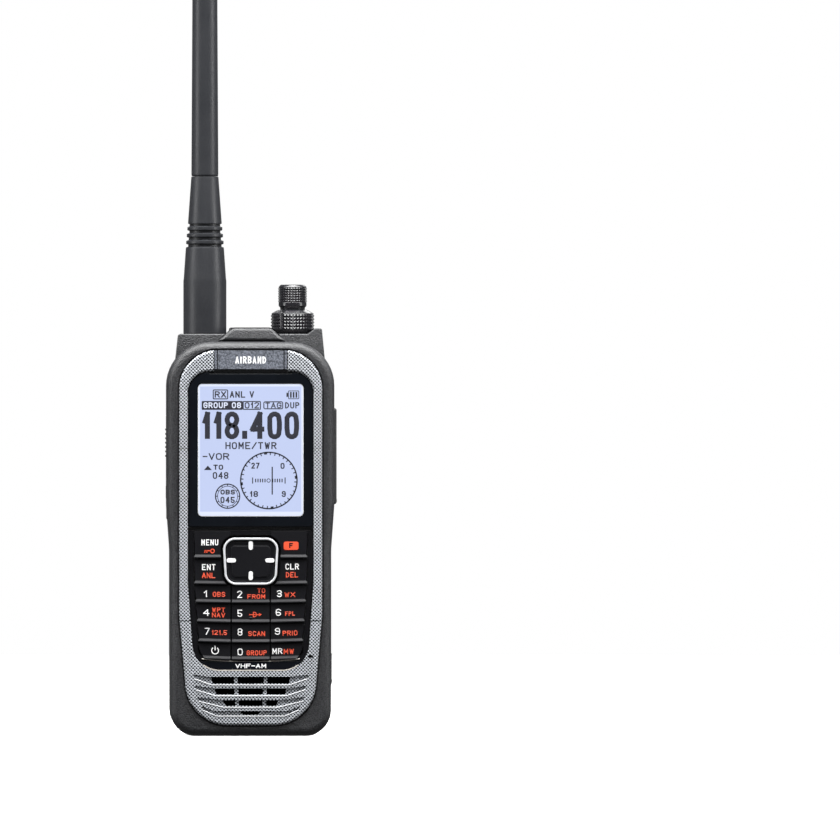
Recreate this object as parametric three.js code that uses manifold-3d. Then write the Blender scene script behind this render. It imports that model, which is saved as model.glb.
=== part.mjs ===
// A handheld airband radio as a three.js scene graph: every sub-part is one named, closed mesh.
// Millimetres, +Z up. The front faces -Y and +X is on the right as seen from the front.
// The origin is on the flat base that the radio stands on, under the middle of its width.
import * as THREE from "three";
import { mergeVertices } from "three/addons/utils/BufferGeometryUtils.js";
import Module from "manifold-3d";

const wasm = await Module();
wasm.setup();

// ---------------------------------------------------------------- driving dimensions

const GAP = 0.3; // left between pieces that touch
const SIDE_GAP = 0.5; // round a key, between its cap and its neighbours
const ARC_STEPS = 6; // segments in a rounded corner
const TURNED_SIDES = 28; // sides of a turned piece
const THROUGH = 60; // long enough for a cut to pass right through

const body = {
  lowerHalf: 29.35, // half width of the lower body
  flare: 1.15, // how much wider each side gets towards the top
  flareLow: 68,
  flareHigh: 84,
  collarTop: 143.5, // top of the rounded collar round the front face
  baseRadius: 9.5,
  collarRadius: 16,
  flareRadius: 30,
  frontDepth: 17, // collar face to the rear rim of the front case
  rim: 2.4, // Y of that rear rim
  wall: 2.2,
  plate: 2.4, // thickness of the front plate
  edge: 3, // rounding of the front edge
};

// The block behind the collar, which carries the aerial and the knobs.
const shoulder = {
  inset: 3.25, // its side, inside the lower body's side
  lean: 1.05, // how much wider it is below the collar's top
  leanFoot: 6.5, // where it stops widening, below the collar's top
  rise: 2.9, // platform for the aerial and the knobs, above the collar
  drop: 25.5, // its foot, below the collar's top
  horn: 2, // guard beside the knobs, above the platform
  hornWidth: 2.5,
  hornSlope: 2.6,
  rear: 14.5, // Y of the block's rear face
  wall: 2,
  roof: 4.6,
  edge: 2.2,
};

const trim = {
  band: 3.35, // collar left showing outside the front frame
  headBand: 3, // the same, above the frame
  footBand: 4, // and below it
  width: 3.1, // width of the frame beside the window
  headWidth: 7.9,
  proud: 1, // stands out of the collar
  pocket: 1.2, // sunk into the front plate
  outerRadius: 14.3,
  footRadius: 15.5,
  footTaper: 3.5,
  taperFrom: 44,
  innerRadius: 8,
  innerFootRadius: 10,
  keyTaper: 2.3,
  keyTaperFrom: 56,
  grilleHeight: 19.8, // height of the speaker grille below the keys
  edge: 0.5,
};

const logo = { half: 13.2, edge: 0.3, sink: 0.3 };

const windowPane = { aboveKeys: 1.1, sink: 0.4 };

// The screen: its visible area keeps these margins inside the window.
const lcd = { sideMargin: 3.7, headMargin: 4.4, footMargin: 3.7, thickness: 4.4, frame: 1.4 };

const strip = { height: 3.7, sink: 0.1 };

// Rows of slots from the top: mid is half the middle slot, post the bar beside it, and side how far
// the row's end lies inside the opening behind it. The last row is a middle slot alone.
const grille = {
  rows: [
    { z: 20.4, height: 2.4, mid: 4.75, side: 1.6, post: 1.3, slant: 0.5 },
    { z: 16.3, height: 2.2, mid: 4.45, side: 2.95, post: 1.4, slant: 0.5 },
    { z: 12.1, height: 2.05, mid: 4.35, side: 5.8, post: 1.25, slant: 1.1 },
    { z: 8.5, height: 1.3, mid: 4.1, slant: 1.2 },
  ],
  opening: { fromPosts: 3.3, low: 6.6, high: 22.4 },
};

const keypad = {
  top: 75.2,
  margin: 2.3, // rubber border left showing round the keys
  columnHalf: 7.1, // half width of the middle column
  rowFeet: [64.8, 55.3, 48.6, 41.5, 34.3, 28.1], // lower edge of each row of keys
  rowGap: 0.45,
  topMargin: 0.7,
  lip: 1.3, // pressing ridge along a key's lower edge
  lipProud: 1.3, // that ridge, in front of the collar
  faceProud: 0.55,
  thickness: 3,
  matThickness: 1,
  boardThickness: 1,
  bossHeight: 0.3,
};

const dpad = {
  z: 63.6,
  topHalf: 10.35,
  footHalf: 9.4,
  halfHeight: 8.65,
  radius: 4.4,
  ring: 0.85, // width of the bright ring
  ringProud: 1.5,
  capProud: 1.1,
  thickness: 2.3,
  gap: 0.45,
  rockerRadius: 3,
  rockerThickness: 0.6,
};

const speaker = { z: 20, radius: 15, depth: 5.4, magnetRadius: 8, coneDepth: 1.2 };
const mesh = { thickness: 0.4, margin: 1 };
const microphone = { fromKeys: 0.8, z: 29, radius: 1.6, depth: 2.2, slotHalf: 1, slotHeight: 0.95 };

const boards = { gap: 0.4, thickness: 1.2, canHeight: 1.6, foot: 38.5 };
const chassis = { plate: 2, rib: 2.4, ribWidth: 2.4, foot: 5.5 };

const rear = { wall: 2.2 };

const screw = { fromSide: 7.05, z: 12, head: 2.2, headHeight: 1.1, shank: 1.1, post: 3, inset: 1.3 };

const battery = {
  depth: 10.7,
  lid: 2,
  wall: 2,
  edge: 1.4,
  gap: 0.3,
  cellFoot: 14,
};
const latch = { half: 9, foot: 1.2, height: 7.2, depth: 4.2, travel: 2 };
const latchGrip = { half: 6, grooves: 3, foot: 1.6, pitch: 1.8, width: 0.7, depth: 0.8 };
const contacts = { half: 7, z: 24, height: 7, blades: 3, bladeWidth: 1.6, bladeProud: 0.35 };

// The aerial; its heights count from the platform that it stands on.
const aerial = {
  fromSide: 9.7,
  sleeveRadius: 7.85, // rubber boot over the plug
  neckRadius: 6.9,
  topRadius: 6.2,
  whipRadius: 4.92,
  whipTipRadius: 4.3,
  sleeveHeight: 19.6, // where the boot starts to narrow
  neckHeight: 31.6, // where the flexing rings start
  rings: 3,
  ringPitch: 2.5,
  ringDepth: 0.7,
  bootHeight: 57.4,
  height: 200.6,
  spigotRadius: 2.8,
  spigotLength: 16,
  bootWall: 0.6, // of the boot round its plug
  plugHeight: 13,
};
const socket = { radius: 4.8, height: 10, lugRadius: 5.4, lug: 1, hole: 3.4, flange: 6.2, thread: 4.4 };

const knobs = {
  fromSide: 10.5,
  volumeRadius: 5.1,
  volumeHeight: 8.9,
  volumeEdge: 1,
  dialRadius: 7.75,
  dialHeight: 8.5,
  dialShoulder: 5.4,
  dialConeHeight: 1.4,
  pointerAngle: -35,
  pointerHalf: 0.55,
  pointerProud: 0.25,
  volumeShaft: 1.5,
  dialShaft: 2.7,
  bushing: 3.8,
  bushingHeight: 2.6,
  nutRadius: 5.3,
  nutHeight: 1.5,
  controlHalf: 6.2,
  controlHeight: 11,
};

// Pieces in the side walls run up and down from low to high, and through the depth from back to front.
const pttTop = body.collarTop - 21.9;
const ptt = {
  ...{ low: pttTop - 28.2, high: pttTop, back: -8.2, front: 0.4, proud: 0.1 },
  ...{ ribs: 6, ribPitch: 1.75, ribFoot: 8.4, rib: 0.35 },
};
const sideKey = { height: 5.6, gap: 1.8, back: -7, front: -0.6, proud: 0.25 };
const sideKeys = ["squelch_key", "light_key"].map((name, i) => {
  const high = ptt.low - sideKey.gap - i * (sideKey.height + sideKey.gap);
  return { ...sideKey, name, low: high - sideKey.height, high };
});
const sideButton = { thickness: 2.3, edge: 0.5 };
const sideBoard = { thickness: 0.8, low: sideKeys[1].low - 1.6, high: ptt.high - 4.6, standOff: 1.1 };

const jackCoverTop = body.collarTop - 24.1;
const jackCover = {
  ...{ low: jackCoverTop - 35.1, high: jackCoverTop, back: -9, front: 0.6, proud: 0.9 },
  ...{ thickness: 2.8, edge: 0.7 },
};
const jackBlock = { low: jackCover.low + 3.7, high: jackCover.high - 6.4, hole: 1.8, pitch: 12 };
const portCover = { low: 18.6, high: 30.2, back: -8, front: 0.2, proud: 0.35, thickness: 1.9, edge: 0.3 };
const portTop = microphone.z - microphone.radius - 0.5;
const port = { low: portCover.low + 2, high: portTop, back: -7, front: -3.6, depth: 5, wall: 0.5 };

// ---------------------------------------------------------------- planes that pieces share, front to back

const face = body.rim - body.frontDepth;
const pocketFloor = face + trim.pocket;
const trimBack = pocketFloor - GAP;
const trimFace = face - trim.proud;
const plateBack = face + body.plate;
const matFront = plateBack + GAP;
const matBack = matFront + keypad.matThickness;
const boardFront = matBack + GAP;
const boardBack = boardFront + keypad.boardThickness;
const lcdBack = matFront + lcd.thickness;
const mainFront = lcdBack + boards.gap;
const mainBack = mainFront + boards.thickness;
const blockFront = lcdBack + GAP;
const rearFace = body.rim + GAP;
const rearBack = rearFace + rear.wall;
const batteryFront = rearBack + battery.gap;
const batteryBack = batteryFront + battery.depth;
const chassisBack = body.rim;
const blockMiddle = (blockFront + shoulder.rear) / 2;
const upperHalf = body.lowerHalf + body.flare;
const shoulderHalf = body.lowerHalf - shoulder.inset;
const platform = body.collarTop + shoulder.rise;
const shoulderFoot = body.collarTop - shoulder.drop;
const hornTop = platform + shoulder.horn;
const batteryTop = shoulderFoot - 1.6;
const aerialX = aerial.fromSide - shoulderHalf;
const knobsX = shoulderHalf - knobs.fromSide;
const screwX = body.lowerHalf - screw.fromSide;
const grilleHalf = screwX - screw.post - grille.opening.fromPosts;
const plugRadius = aerial.sleeveRadius - aerial.bootWall - GAP;

// ---------------------------------------------------------------- outlines, seen from the front

// Corners are {x, z, r}, anticlockwise as seen from the front, with r the rounding of the corner.
const corner = (x, z, r = 0) => ({ x, z, r });

function mirrored(half) {
  const left = half.map((c) => corner(-c.x, c.z, c.r)).reverse();
  return [...half, ...left];
}

// The corners of an outline whose edges have all moved inwards by d.
function inset(corners, d) {
  const count = corners.length;
  return corners.map((c, i) => {
    const a = corners[(i + count - 1) % count];
    const b = corners[(i + 1) % count];
    const before = new THREE.Vector2(c.x - a.x, c.z - a.z).normalize();
    const after = new THREE.Vector2(b.x - c.x, b.z - c.z).normalize();
    const n1 = new THREE.Vector2(-before.y, before.x);
    const n2 = new THREE.Vector2(-after.y, after.x);
    const scale = d / (1 + n1.dot(n2));
    const turnsOut = before.cross(after) > 0;
    const r = c.r === 0 ? 0 : Math.max(0.2, turnsOut ? c.r - d : c.r + d);
    return corner(c.x + (n1.x + n2.x) * scale, c.z + (n1.y + n2.y) * scale, r);
  });
}

// Points along the outline, with each rounded corner as an arc.
function rounded(corners, steps = ARC_STEPS) {
  const points = [];
  const count = corners.length;
  corners.forEach((c, i) => {
    const here = new THREE.Vector2(c.x, c.z);
    if (c.r === 0) {
      points.push(here);
      return;
    }
    const a = corners[(i + count - 1) % count];
    const b = corners[(i + 1) % count];
    const back = new THREE.Vector2(a.x - c.x, a.z - c.z).normalize();
    const on = new THREE.Vector2(b.x - c.x, b.z - c.z).normalize();
    const halfAngle = Math.acos(THREE.MathUtils.clamp(back.dot(on), -1, 1)) / 2;
    const reach = c.r / Math.tan(halfAngle);
    const start = here.clone().addScaledVector(back, reach);
    const bisector = back.clone().add(on).normalize();
    const centre = here.clone().addScaledVector(bisector, c.r / Math.sin(halfAngle));
    const from = start.clone().sub(centre);
    const sweep = (Math.PI - 2 * halfAngle) * Math.sign(on.cross(back));
    const fine = c.r < 1 ? Math.min(steps, 2) : steps;
    const pieces = Math.max(1, Math.ceil((fine * Math.abs(sweep)) / (Math.PI / 2)));
    for (let k = 0; k <= pieces; k++) {
      const turn = (sweep * k) / pieces;
      points.push(from.clone().rotateAround(new THREE.Vector2(), turn).add(centre));
    }
  });
  return points;
}

const shapeOf = (corners) => new THREE.Shape(rounded(corners));

const rectangle = (x0, z0, x1, z1, r = 0) => [
  corner(x1, z0, r),
  corner(x1, z1, r),
  corner(x0, z1, r),
  corner(x0, z0, r),
];

const bodyOutline = mirrored([
  corner(body.lowerHalf, 0, body.baseRadius),
  corner(body.lowerHalf, body.flareLow, body.flareRadius),
  corner(upperHalf, body.flareHigh, body.flareRadius),
  corner(upperHalf, body.collarTop, body.collarRadius),
]);

const shoulderOutline = [
  corner(shoulderHalf + shoulder.lean, shoulderFoot),
  corner(shoulderHalf + shoulder.lean, body.collarTop - shoulder.leanFoot),
  corner(shoulderHalf, hornTop, 0.7),
  corner(shoulderHalf - shoulder.hornWidth, hornTop, 0.5),
  corner(shoulderHalf - shoulder.hornWidth - shoulder.hornSlope, platform, 0.8),
  corner(-shoulderHalf, platform, 1.2),
  corner(-shoulderHalf - shoulder.lean, body.collarTop - shoulder.leanFoot),
  corner(-shoulderHalf - shoulder.lean, shoulderFoot),
];

const trimHalf = body.lowerHalf - trim.band;
const trimTop = body.collarTop - trim.headBand;
const trimFoot = trim.footBand;
const trimOutline = mirrored([
  corner(trimHalf - trim.footTaper, trimFoot, trim.footRadius),
  corner(trimHalf, trim.taperFrom, body.flareRadius),
  corner(trimHalf, trimTop, trim.outerRadius),
]);

const paneHalf = trimHalf - trim.width;
const paneTop = trimTop - trim.headWidth;
const paneFoot = trimFoot + trim.grilleHeight;
const keysHalfAt = (z) => {
  const share = Math.max(0, trim.keyTaperFrom - z) / (trim.keyTaperFrom - paneFoot);
  return paneHalf - trim.keyTaper * share;
};
const paneOutline = mirrored([
  corner(keysHalfAt(paneFoot), paneFoot, trim.innerFootRadius),
  corner(paneHalf, trim.keyTaperFrom, body.flareRadius),
  corner(paneHalf, paneTop, trim.innerRadius),
]);

const dpadOutline = mirrored([
  corner(dpad.footHalf, dpad.z - dpad.halfHeight, dpad.radius),
  corner(dpad.topHalf, dpad.z + dpad.halfHeight, dpad.radius),
]);

// ---------------------------------------------------------------- solids

function solid(geometry) {
  geometry.deleteAttribute("normal");
  geometry.deleteAttribute("uv");
  const merged = mergeVertices(geometry, 1e-4);
  return new wasm.Manifold(
    new wasm.Mesh({
      numProp: 3,
      vertProperties: merged.attributes.position.array,
      triVerts: new Uint32Array(merged.index.array),
    }),
  );
}

function box(x0, y0, z0, x1, y1, z1) {
  const geometry = new THREE.BoxGeometry(x1 - x0, y1 - y0, z1 - z0);
  geometry.translate((x0 + x1) / 2, (y0 + y1) / 2, (z0 + z1) / 2);
  return solid(geometry);
}

// A front outline carried through the depth from y0 to y1, its front and rear edges rounded if asked.
function prism(corners, y0, y1, { front = 0, back = 0, steps = 3 } = {}) {
  const edge = Math.max(front, back);
  const over = edge > 0 ? edge + 1 : 0;
  const from = front > 0 ? y0 + front : y0 - over;
  const to = back > 0 ? y1 - back : y1 + over;
  const geometry = new THREE.ExtrudeGeometry(shapeOf(corners), {
    depth: edge > 0 ? to - from : y1 - y0,
    bevelEnabled: edge > 0,
    bevelThickness: edge,
    bevelSize: edge,
    bevelOffset: -edge,
    bevelSegments: steps,
  });
  geometry.rotateX(Math.PI / 2);
  geometry.translate(0, edge > 0 ? to : y1, 0);
  const made = solid(geometry);
  return edge > 0 ? made.intersect(slab(y0, y1)) : made;
}

const slab = (y0, y1) => box(-500, y0, -500, 500, y1, 500);
const above = (z) => box(-500, -500, z, 500, 500, 999);
const below = (z) => box(-500, -500, -999, 500, 500, z);

// An outline in the Y-Z plane, given as [y, z] pairs, carried from x0 to x1.
function crossPrism(points, x0, x1) {
  const shape = new THREE.Shape(points.map(([y, z]) => new THREE.Vector2(y, z)));
  const geometry = new THREE.ExtrudeGeometry(shape, { depth: x1 - x0, bevelEnabled: false });
  geometry.applyMatrix4(new THREE.Matrix4().set(0, 0, 1, x0, 1, 0, 0, 0, 0, 1, 0, 0, 0, 0, 0, 1));
  return solid(geometry);
}

// An outline seen from above, given as corners with x across and z for the depth, carried from z0 to z1.
function planPrism(corners, z0, z1) {
  const geometry = new THREE.ExtrudeGeometry(shapeOf(corners), { depth: z1 - z0, bevelEnabled: false });
  geometry.translate(0, 0, z0);
  return solid(geometry);
}

// A profile of [radius, z] pairs from the axis back to the axis, turned about the vertical.
function turned(profile, sides = TURNED_SIDES) {
  const points = profile.map(([r, z]) => new THREE.Vector2(r, z));
  const geometry = new THREE.LatheGeometry(points, sides);
  geometry.rotateX(Math.PI / 2);
  return solid(geometry);
}

const rod = (r, z0, z1, sides = TURNED_SIDES) =>
  turned([[0, z0], [r, z0], [r, z1], [0, z1]], sides);

const tube = (inner, outer, z0, z1, sides = TURNED_SIDES) =>
  turned([[inner, z0], [outer, z0], [outer, z1], [inner, z1], [inner, z0]], sides);

// A rod along Y, from y0 to y1.
function pin(x, z, r, y0, y1, sides = 20) {
  const geometry = new THREE.CylinderGeometry(r, r, y1 - y0, sides);
  geometry.translate(x, (y0 + y1) / 2, z);
  return solid(geometry);
}

// A rod along X, from x0 to x1.
function crossPin(y, z, r, x0, x1, sides = 20) {
  const geometry = new THREE.CylinderGeometry(r, r, x1 - x0, sides);
  geometry.rotateZ(Math.PI / 2);
  geometry.translate((x0 + x1) / 2, y, z);
  return solid(geometry);
}

const union = (parts) => parts.reduce((sum, part) => sum.add(part));

// ---------------------------------------------------------------- materials

const material = (color, roughness, metalness = 0, extra = {}) =>
  new THREE.MeshStandardMaterial({ color, roughness, metalness, ...extra });

const finish = {
  caseGrain: material(0x2b2c2f, 0.62),
  silver: material(0xa9adb3, 0.42, 0.55),
  plate: material(0x6f747e, 0.45, 0.35),
  pane: material(0x0b0d10, 0.08, 0, { transparent: true, opacity: 0.9 }),
  screen: material(0xc9d4f2, 0.3),
  rubber: material(0x17181a, 0.75),
  keyCap: material(0x16171a, 0.4),
  bright: material(0xd8d9dc, 0.18, 0.9),
  metal: material(0x9a9ca0, 0.35, 0.9),
  brass: material(0xc9a65a, 0.3, 0.9),
  board: material(0x1f5a3a, 0.55),
  dark: material(0x202124, 0.5),
  cell: material(0x3b5c8c, 0.5),
};

const radio = new THREE.Group();

function place(parent, name, made, look, position = [0, 0, 0]) {
  const data = made.getMesh();
  const geometry = new THREE.BufferGeometry();
  geometry.setAttribute("position", new THREE.BufferAttribute(data.vertProperties, 3));
  geometry.setIndex(new THREE.BufferAttribute(data.triVerts, 1));
  geometry.computeVertexNormals();
  const mesh = new THREE.Mesh(geometry, look);
  mesh.name = name;
  mesh.position.set(...position);
  parent.add(mesh);
  return mesh;
}

// ---------------------------------------------------------------- openings in the side walls

// Each opening is [low, high, back, front] of the piece that fills it, on one side of the body.
const leftOpenings = [ptt, ...sideKeys];
const rightOpenings = [jackCover, portCover];

function sideCut(piece, side) {
  const from = body.lowerHalf - body.wall - 3;
  const x = [side * from, side * (upperHalf + 3)].sort((a, b) => a - b);
  return box(x[0], piece.back - GAP, piece.low - GAP, x[1], piece.front + GAP, piece.high + GAP);
}

const sideAt = (z) => {
  const share = THREE.MathUtils.clamp((z - body.flareLow) / (body.flareHigh - body.flareLow), 0, 1);
  return body.lowerHalf + body.flare * share;
};

// ---------------------------------------------------------------- case

const blockBox = () =>
  box(
    -shoulderHalf - shoulder.lean - GAP,
    blockFront - GAP,
    shoulderFoot - GAP,
    shoulderHalf + shoulder.lean + GAP,
    THROUGH,
    body.collarTop + 5,
  );

const screwPosts = () =>
  [-1, 1].map((side) =>
    pin(side * screwX, screw.z, screw.post, plateBack - 0.5, chassisBack - chassis.plate - GAP),
  );

function frontCase() {
  const shell = prism(bodyOutline, face, body.rim, { front: body.edge });
  const cavity = prism(inset(bodyOutline, body.wall), plateBack, body.rim + 1);
  const sealGroove = prism(inset(bodyOutline, body.wall / 2), body.rim - 1.2, body.rim + 1);
  const { opening } = grille;
  const cuts = [
    cavity,
    sealGroove,
    blockBox(),
    prism(inset(trimOutline, -GAP), face - 1, pocketFloor),
    prism(keypadZone(-GAP), face - 1, plateBack + 1),
    prism(lcdView(0), face - 1, plateBack + 1),
    box(-grilleHalf, face - 1, opening.low, grilleHalf, plateBack + 1, opening.high),
    pin(microphoneX, microphone.z, microphone.slotHeight / 2, face - 1, plateBack + 1, 10),
    ...leftOpenings.map((piece) => sideCut(piece, -1)),
    ...rightOpenings.map((piece) => sideCut(piece, 1)),
  ];
  const screwHoles = [-1, 1].map((side) =>
    pin(side * screwX, screw.z, screw.shank + GAP, plateBack + 3, body.rim + 1, 12),
  );
  return union([shell.subtract(union(cuts)), ...screwPosts()]).subtract(union(screwHoles));
}

const lcdHalf = paneHalf - lcd.sideMargin;
const lcdView = (grow) =>
  rectangle(
    -lcdHalf - grow,
    windowFoot + lcd.footMargin - grow,
    lcdHalf + grow,
    paneTop - lcd.headMargin + grow,
    1.5,
  );

// The part of the opening inside the frame that holds the keys and the rubber round them.
function keypadZone(d) {
  const { top } = keypad;
  return mirrored([
    corner(keysHalfAt(paneFoot) - d, stripTop + d, 3),
    corner(keysHalfAt(trim.keyTaperFrom) - d, trim.keyTaperFrom, body.flareRadius),
    corner(paneHalf - d, top - d, 0.6),
  ]);
}

const stripTop = paneFoot + strip.height;
const windowFoot = keypad.top + windowPane.aboveKeys;
const microphoneX = keysHalfAt(microphone.z) + microphone.fromKeys;

// The block seen from above and from the side, both with rounded edges, trim its front outline.
function shoulderBlock(y0, y1, edge) {
  const half = shoulderHalf + shoulder.lean;
  const plan = planPrism(
    [corner(half, y0), corner(half, y1, edge), corner(-half, y1, edge), corner(-half, y0)],
    shoulderFoot,
    THROUGH * 3,
  );
  const side = [
    corner(y1, shoulderFoot),
    corner(y1, hornTop, edge),
    corner(y0, hornTop, edge / 2),
    corner(y0, shoulderFoot),
  ];
  const profile = rounded(side).map((point) => [point.x, point.y]);
  return prism(shoulderOutline, y0, y1).intersect(plan).intersect(crossPrism(profile, -THROUGH, THROUGH));
}

function rearCase() {
  const ledge = batteryTop + battery.gap;
  const block = prism(bodyOutline, rearFace, shoulder.rear, { back: shoulder.edge }).intersect(above(ledge));
  const tower = shoulderBlock(blockFront, shoulder.rear, shoulder.edge);
  const plate = prism(bodyOutline, rearFace, rearBack).intersect(below(ledge + 1));
  const inner = shoulderHalf - shoulder.wall;
  const ceiling = platform - shoulder.roof;
  const frontRoom = [blockFront + shoulder.wall, body.rim];
  const { half, z, height } = contacts;
  const dialRoom = knobs.dialRadius + knobs.pointerProud + GAP;
  const cuts = [
    box(-inner, frontRoom[0], shoulderFoot - 5, inner, frontRoom[1], ceiling),
    box(-inner, frontRoom[0], ledge + shoulder.wall, inner, shoulder.rear - shoulder.wall, ceiling),
    rod(socket.thread + GAP, ceiling - 1, THROUGH * 3).translate([aerialX, blockMiddle, 0]),
    rod(knobs.bushing + GAP, ceiling - 1, THROUGH * 3).translate([knobsX, blockMiddle, 0]),
    rod(dialRoom, platform, THROUGH * 3).translate([knobsX, blockMiddle, 0]),
    box(-half - GAP, rearFace - 1, z - height / 2 - GAP, half + GAP, rearBack + 1, z + height / 2 + GAP),
    coverSeat(),
    ...[-1, 1].map((side) =>
      pin(side * screwX, screw.z, screw.head + GAP, rearBack - screw.inset, rearBack + 1, 20),
    ),
    ...[-1, 1].map((side) =>
      pin(side * screwX, screw.z, screw.shank + GAP, rearFace - 1, rearBack + 1, 12),
    ),
  ];
  return union([block, tower, plate]).subtract(union(cuts));
}

// The raised cover over the positioning aerial, in what is left between the whip and the knobs.
const bootEdge = aerialX + aerial.sleeveRadius;
const dialEdge = knobsX - knobs.dialRadius - knobs.pointerProud;
const cover = {
  x: (bootEdge + dialEdge) / 2,
  topHalf: (dialEdge - bootEdge) / 2 - 0.9,
  shift: 1, // the sloping front part sits this much nearer the dial
  slope: 5, // how much wider each side is at the collar
  top: body.collarTop + 5.2,
  fasciaRear: -2.4, // Y where the sloping front part ends and the plain deck goes on
  rear: 8.5,
  wall: 1.6,
};

function coverOutline(d) {
  const { x, topHalf, shift, slope, top } = cover;
  const low = body.collarTop + GAP;
  return [
    corner(x + shift + topHalf + slope + d, low - d),
    corner(x + shift + topHalf + d, top + d, 2),
    corner(x + shift - topHalf - d, top + d, 2),
    corner(x + shift - topHalf - slope - d, low - d),
  ];
}

function coverSolid(d) {
  const { x, topHalf, top, fasciaRear, rear } = cover;
  const fascia = prism(coverOutline(d), blockFront - 1 - 4 * d, fasciaRear + d, { front: d ? 0 : 0.8 });
  const deck = prism(
    rectangle(x - topHalf - d, body.collarTop + GAP - d, x + topHalf + d, top + d),
    fasciaRear - 1,
    rear + d,
  );
  return fascia.add(deck);
}

const coverSeat = () => coverSolid(GAP);

function topCover() {
  const shell = coverSolid(0);
  const hollow = box(
    cover.x - cover.topHalf + cover.wall,
    blockFront + cover.wall,
    0,
    cover.x + cover.topHalf - cover.wall,
    cover.rear - cover.wall,
    cover.top - cover.wall,
  );
  return shell.subtract(hollow);
}

function caseSeal() {
  const outer = prism(inset(bodyOutline, body.wall / 2 + GAP), body.rim - 0.9, body.rim);
  const inner = prism(inset(bodyOutline, body.wall), body.rim - 2, body.rim + 1);
  return outer.subtract(inner).subtract(blockBox());
}

function caseScrew(side) {
  const seat = rearBack - screw.inset;
  const head = pin(side * screwX, screw.z, screw.head, seat + GAP, seat + GAP + screw.headHeight);
  const shank = pin(side * screwX, screw.z, screw.shank, plateBack + 4, seat + 1, 12);
  const recess = pin(side * screwX, screw.z, 0.9, seat + 0.9, rearBack + 1, 6);
  return head.add(shank).subtract(recess);
}

// ---------------------------------------------------------------- front frame, window, screen

function speakerSlots(y0, y1) {
  return grille.rows.flatMap(({ z, height, mid, side, post, slant }) => {
    const half = side ? grilleHalf - side : 0;
    const low = z - height / 2;
    const high = z + height / 2;
    const foot = half ? mid : mid - slant;
    const slots = [prism(mirrored([corner(foot, low), corner(mid, high)]), y0, y1)];
    if (half) {
      const inner = mid + post;
      const right = [corner(half - slant, low), corner(half, high), corner(inner, high), corner(inner, low)];
      const left = right.map((c) => corner(-c.x, c.z)).reverse();
      slots.push(prism(right, y0, y1), prism(left, y0, y1));
    }
    return slots;
  });
}

function frontFrame() {
  const plate = prism(trimOutline, trimFace, trimBack, { front: trim.edge, steps: 2 });
  const { slotHalf, slotHeight, z } = microphone;
  const x = microphoneX;
  const cuts = [
    prism(paneOutline, trimFace - 1, trimBack + 1),
    box(-logo.half - GAP, trimFace - 1, paneTop - 1, logo.half + GAP, trimBack + 1, trimTop + 1),
    box(x - slotHalf, trimFace - 1, z - slotHeight / 2, x + slotHalf, trimBack + 1, z + slotHeight / 2),
    ...speakerSlots(trimFace - 1, trimBack + 1),
  ];
  return plate.subtract(union(cuts));
}

function headPlate() {
  const outline = rectangle(-logo.half, paneTop, logo.half, trimTop, logo.edge);
  const plate = prism(outline, trimFace + logo.sink, trimBack);
  return plate.intersect(prism(trimOutline, trimFace, trimBack));
}

function displayWindow() {
  const pane = prism(inset(paneOutline, GAP), trimFace + windowPane.sink, trimBack);
  return pane.intersect(above(windowFoot));
}

function lcdModule() {
  const glass = prism(lcdView(lcd.frame), matFront, matFront + 1.6);
  const light = prism(lcdView(lcd.frame - 1), matFront + 1.5, lcdBack);
  return glass.add(light);
}

function labelStrip() {
  const zone = inset(paneOutline, GAP);
  return prism(zone, trimFace + strip.sink, trimBack).intersect(below(stripTop - GAP));
}

// ---------------------------------------------------------------- keys

// Rows run from the top; a row's keys are named left, middle, right, and null where the rocker is.
const keyRows = [
  ["key_menu", null, "key_function"],
  ["key_enter", null, "key_clear"],
  ["key_1", "key_2", "key_3"],
  ["key_4", "key_5", "key_6"],
  ["key_7", "key_8", "key_9"],
  ["key_power", "key_0", "key_memory"],
];

function rowSpan(row) {
  const low = keypad.rowFeet[row];
  const ceiling = row === 0 ? keypad.top - keypad.topMargin : keypad.rowFeet[row - 1] - keypad.rowGap;
  return [low, ceiling];
}

// The outline of a key; grow widens it all round, for the pocket that it moves in.
function keyOutline(row, column, grow = 0) {
  const [low, high] = rowSpan(row);
  const outer = (z) => keysHalfAt(z) - keypad.margin;
  const inner = keypad.columnHalf + SIDE_GAP / 2;
  const middle = keypad.columnHalf - SIDE_GAP / 2;
  const outerCorners = [corner(outer(low), low, 0.6), corner(outer(high), high, 0.6)];
  const right = [...outerCorners, corner(inner, high, 0.3), corner(inner, low, 0.3)];
  const left = right.map((c) => corner(-c.x, c.z, c.r)).reverse();
  const shapes = [left, mirrored([corner(middle, low, 0.3), corner(middle, high, 0.3)]), right];
  return inset(shapes[column], -grow);
}

// The side view of a key: a flat face and a ridge along its lower edge that the finger presses.
function keyProfile(row) {
  const [low, high] = rowSpan(row);
  const capFace = face - keypad.faceProud;
  const ridge = face - keypad.lipProud;
  const back = ridge + keypad.thickness;
  return [
    [back, low - 1],
    [back, high + 1],
    [capFace + 0.5, high + 1],
    [capFace, high - 0.5],
    [capFace, low + keypad.lip],
    [ridge, low + 0.35],
    [ridge + 0.35, low - 1],
  ];
}

const rockerRoom = () => prism(inset(dpadOutline, -SIDE_GAP), face - 9, matFront);

function key(row, column) {
  const cap = crossPrism(keyProfile(row), -THROUGH, THROUGH);
  return cap
    .intersect(prism(keyOutline(row, column), face - 9, matFront))
    .intersect(prism(inset(paneOutline, keypad.margin), face - 9, matFront))
    .subtract(rockerRoom());
}

function eachKey(use) {
  return keyRows.flatMap((names, row) =>
    names.map((name, column) => (name ? use(name, row, column) : null)).filter((made) => made),
  );
}

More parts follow.
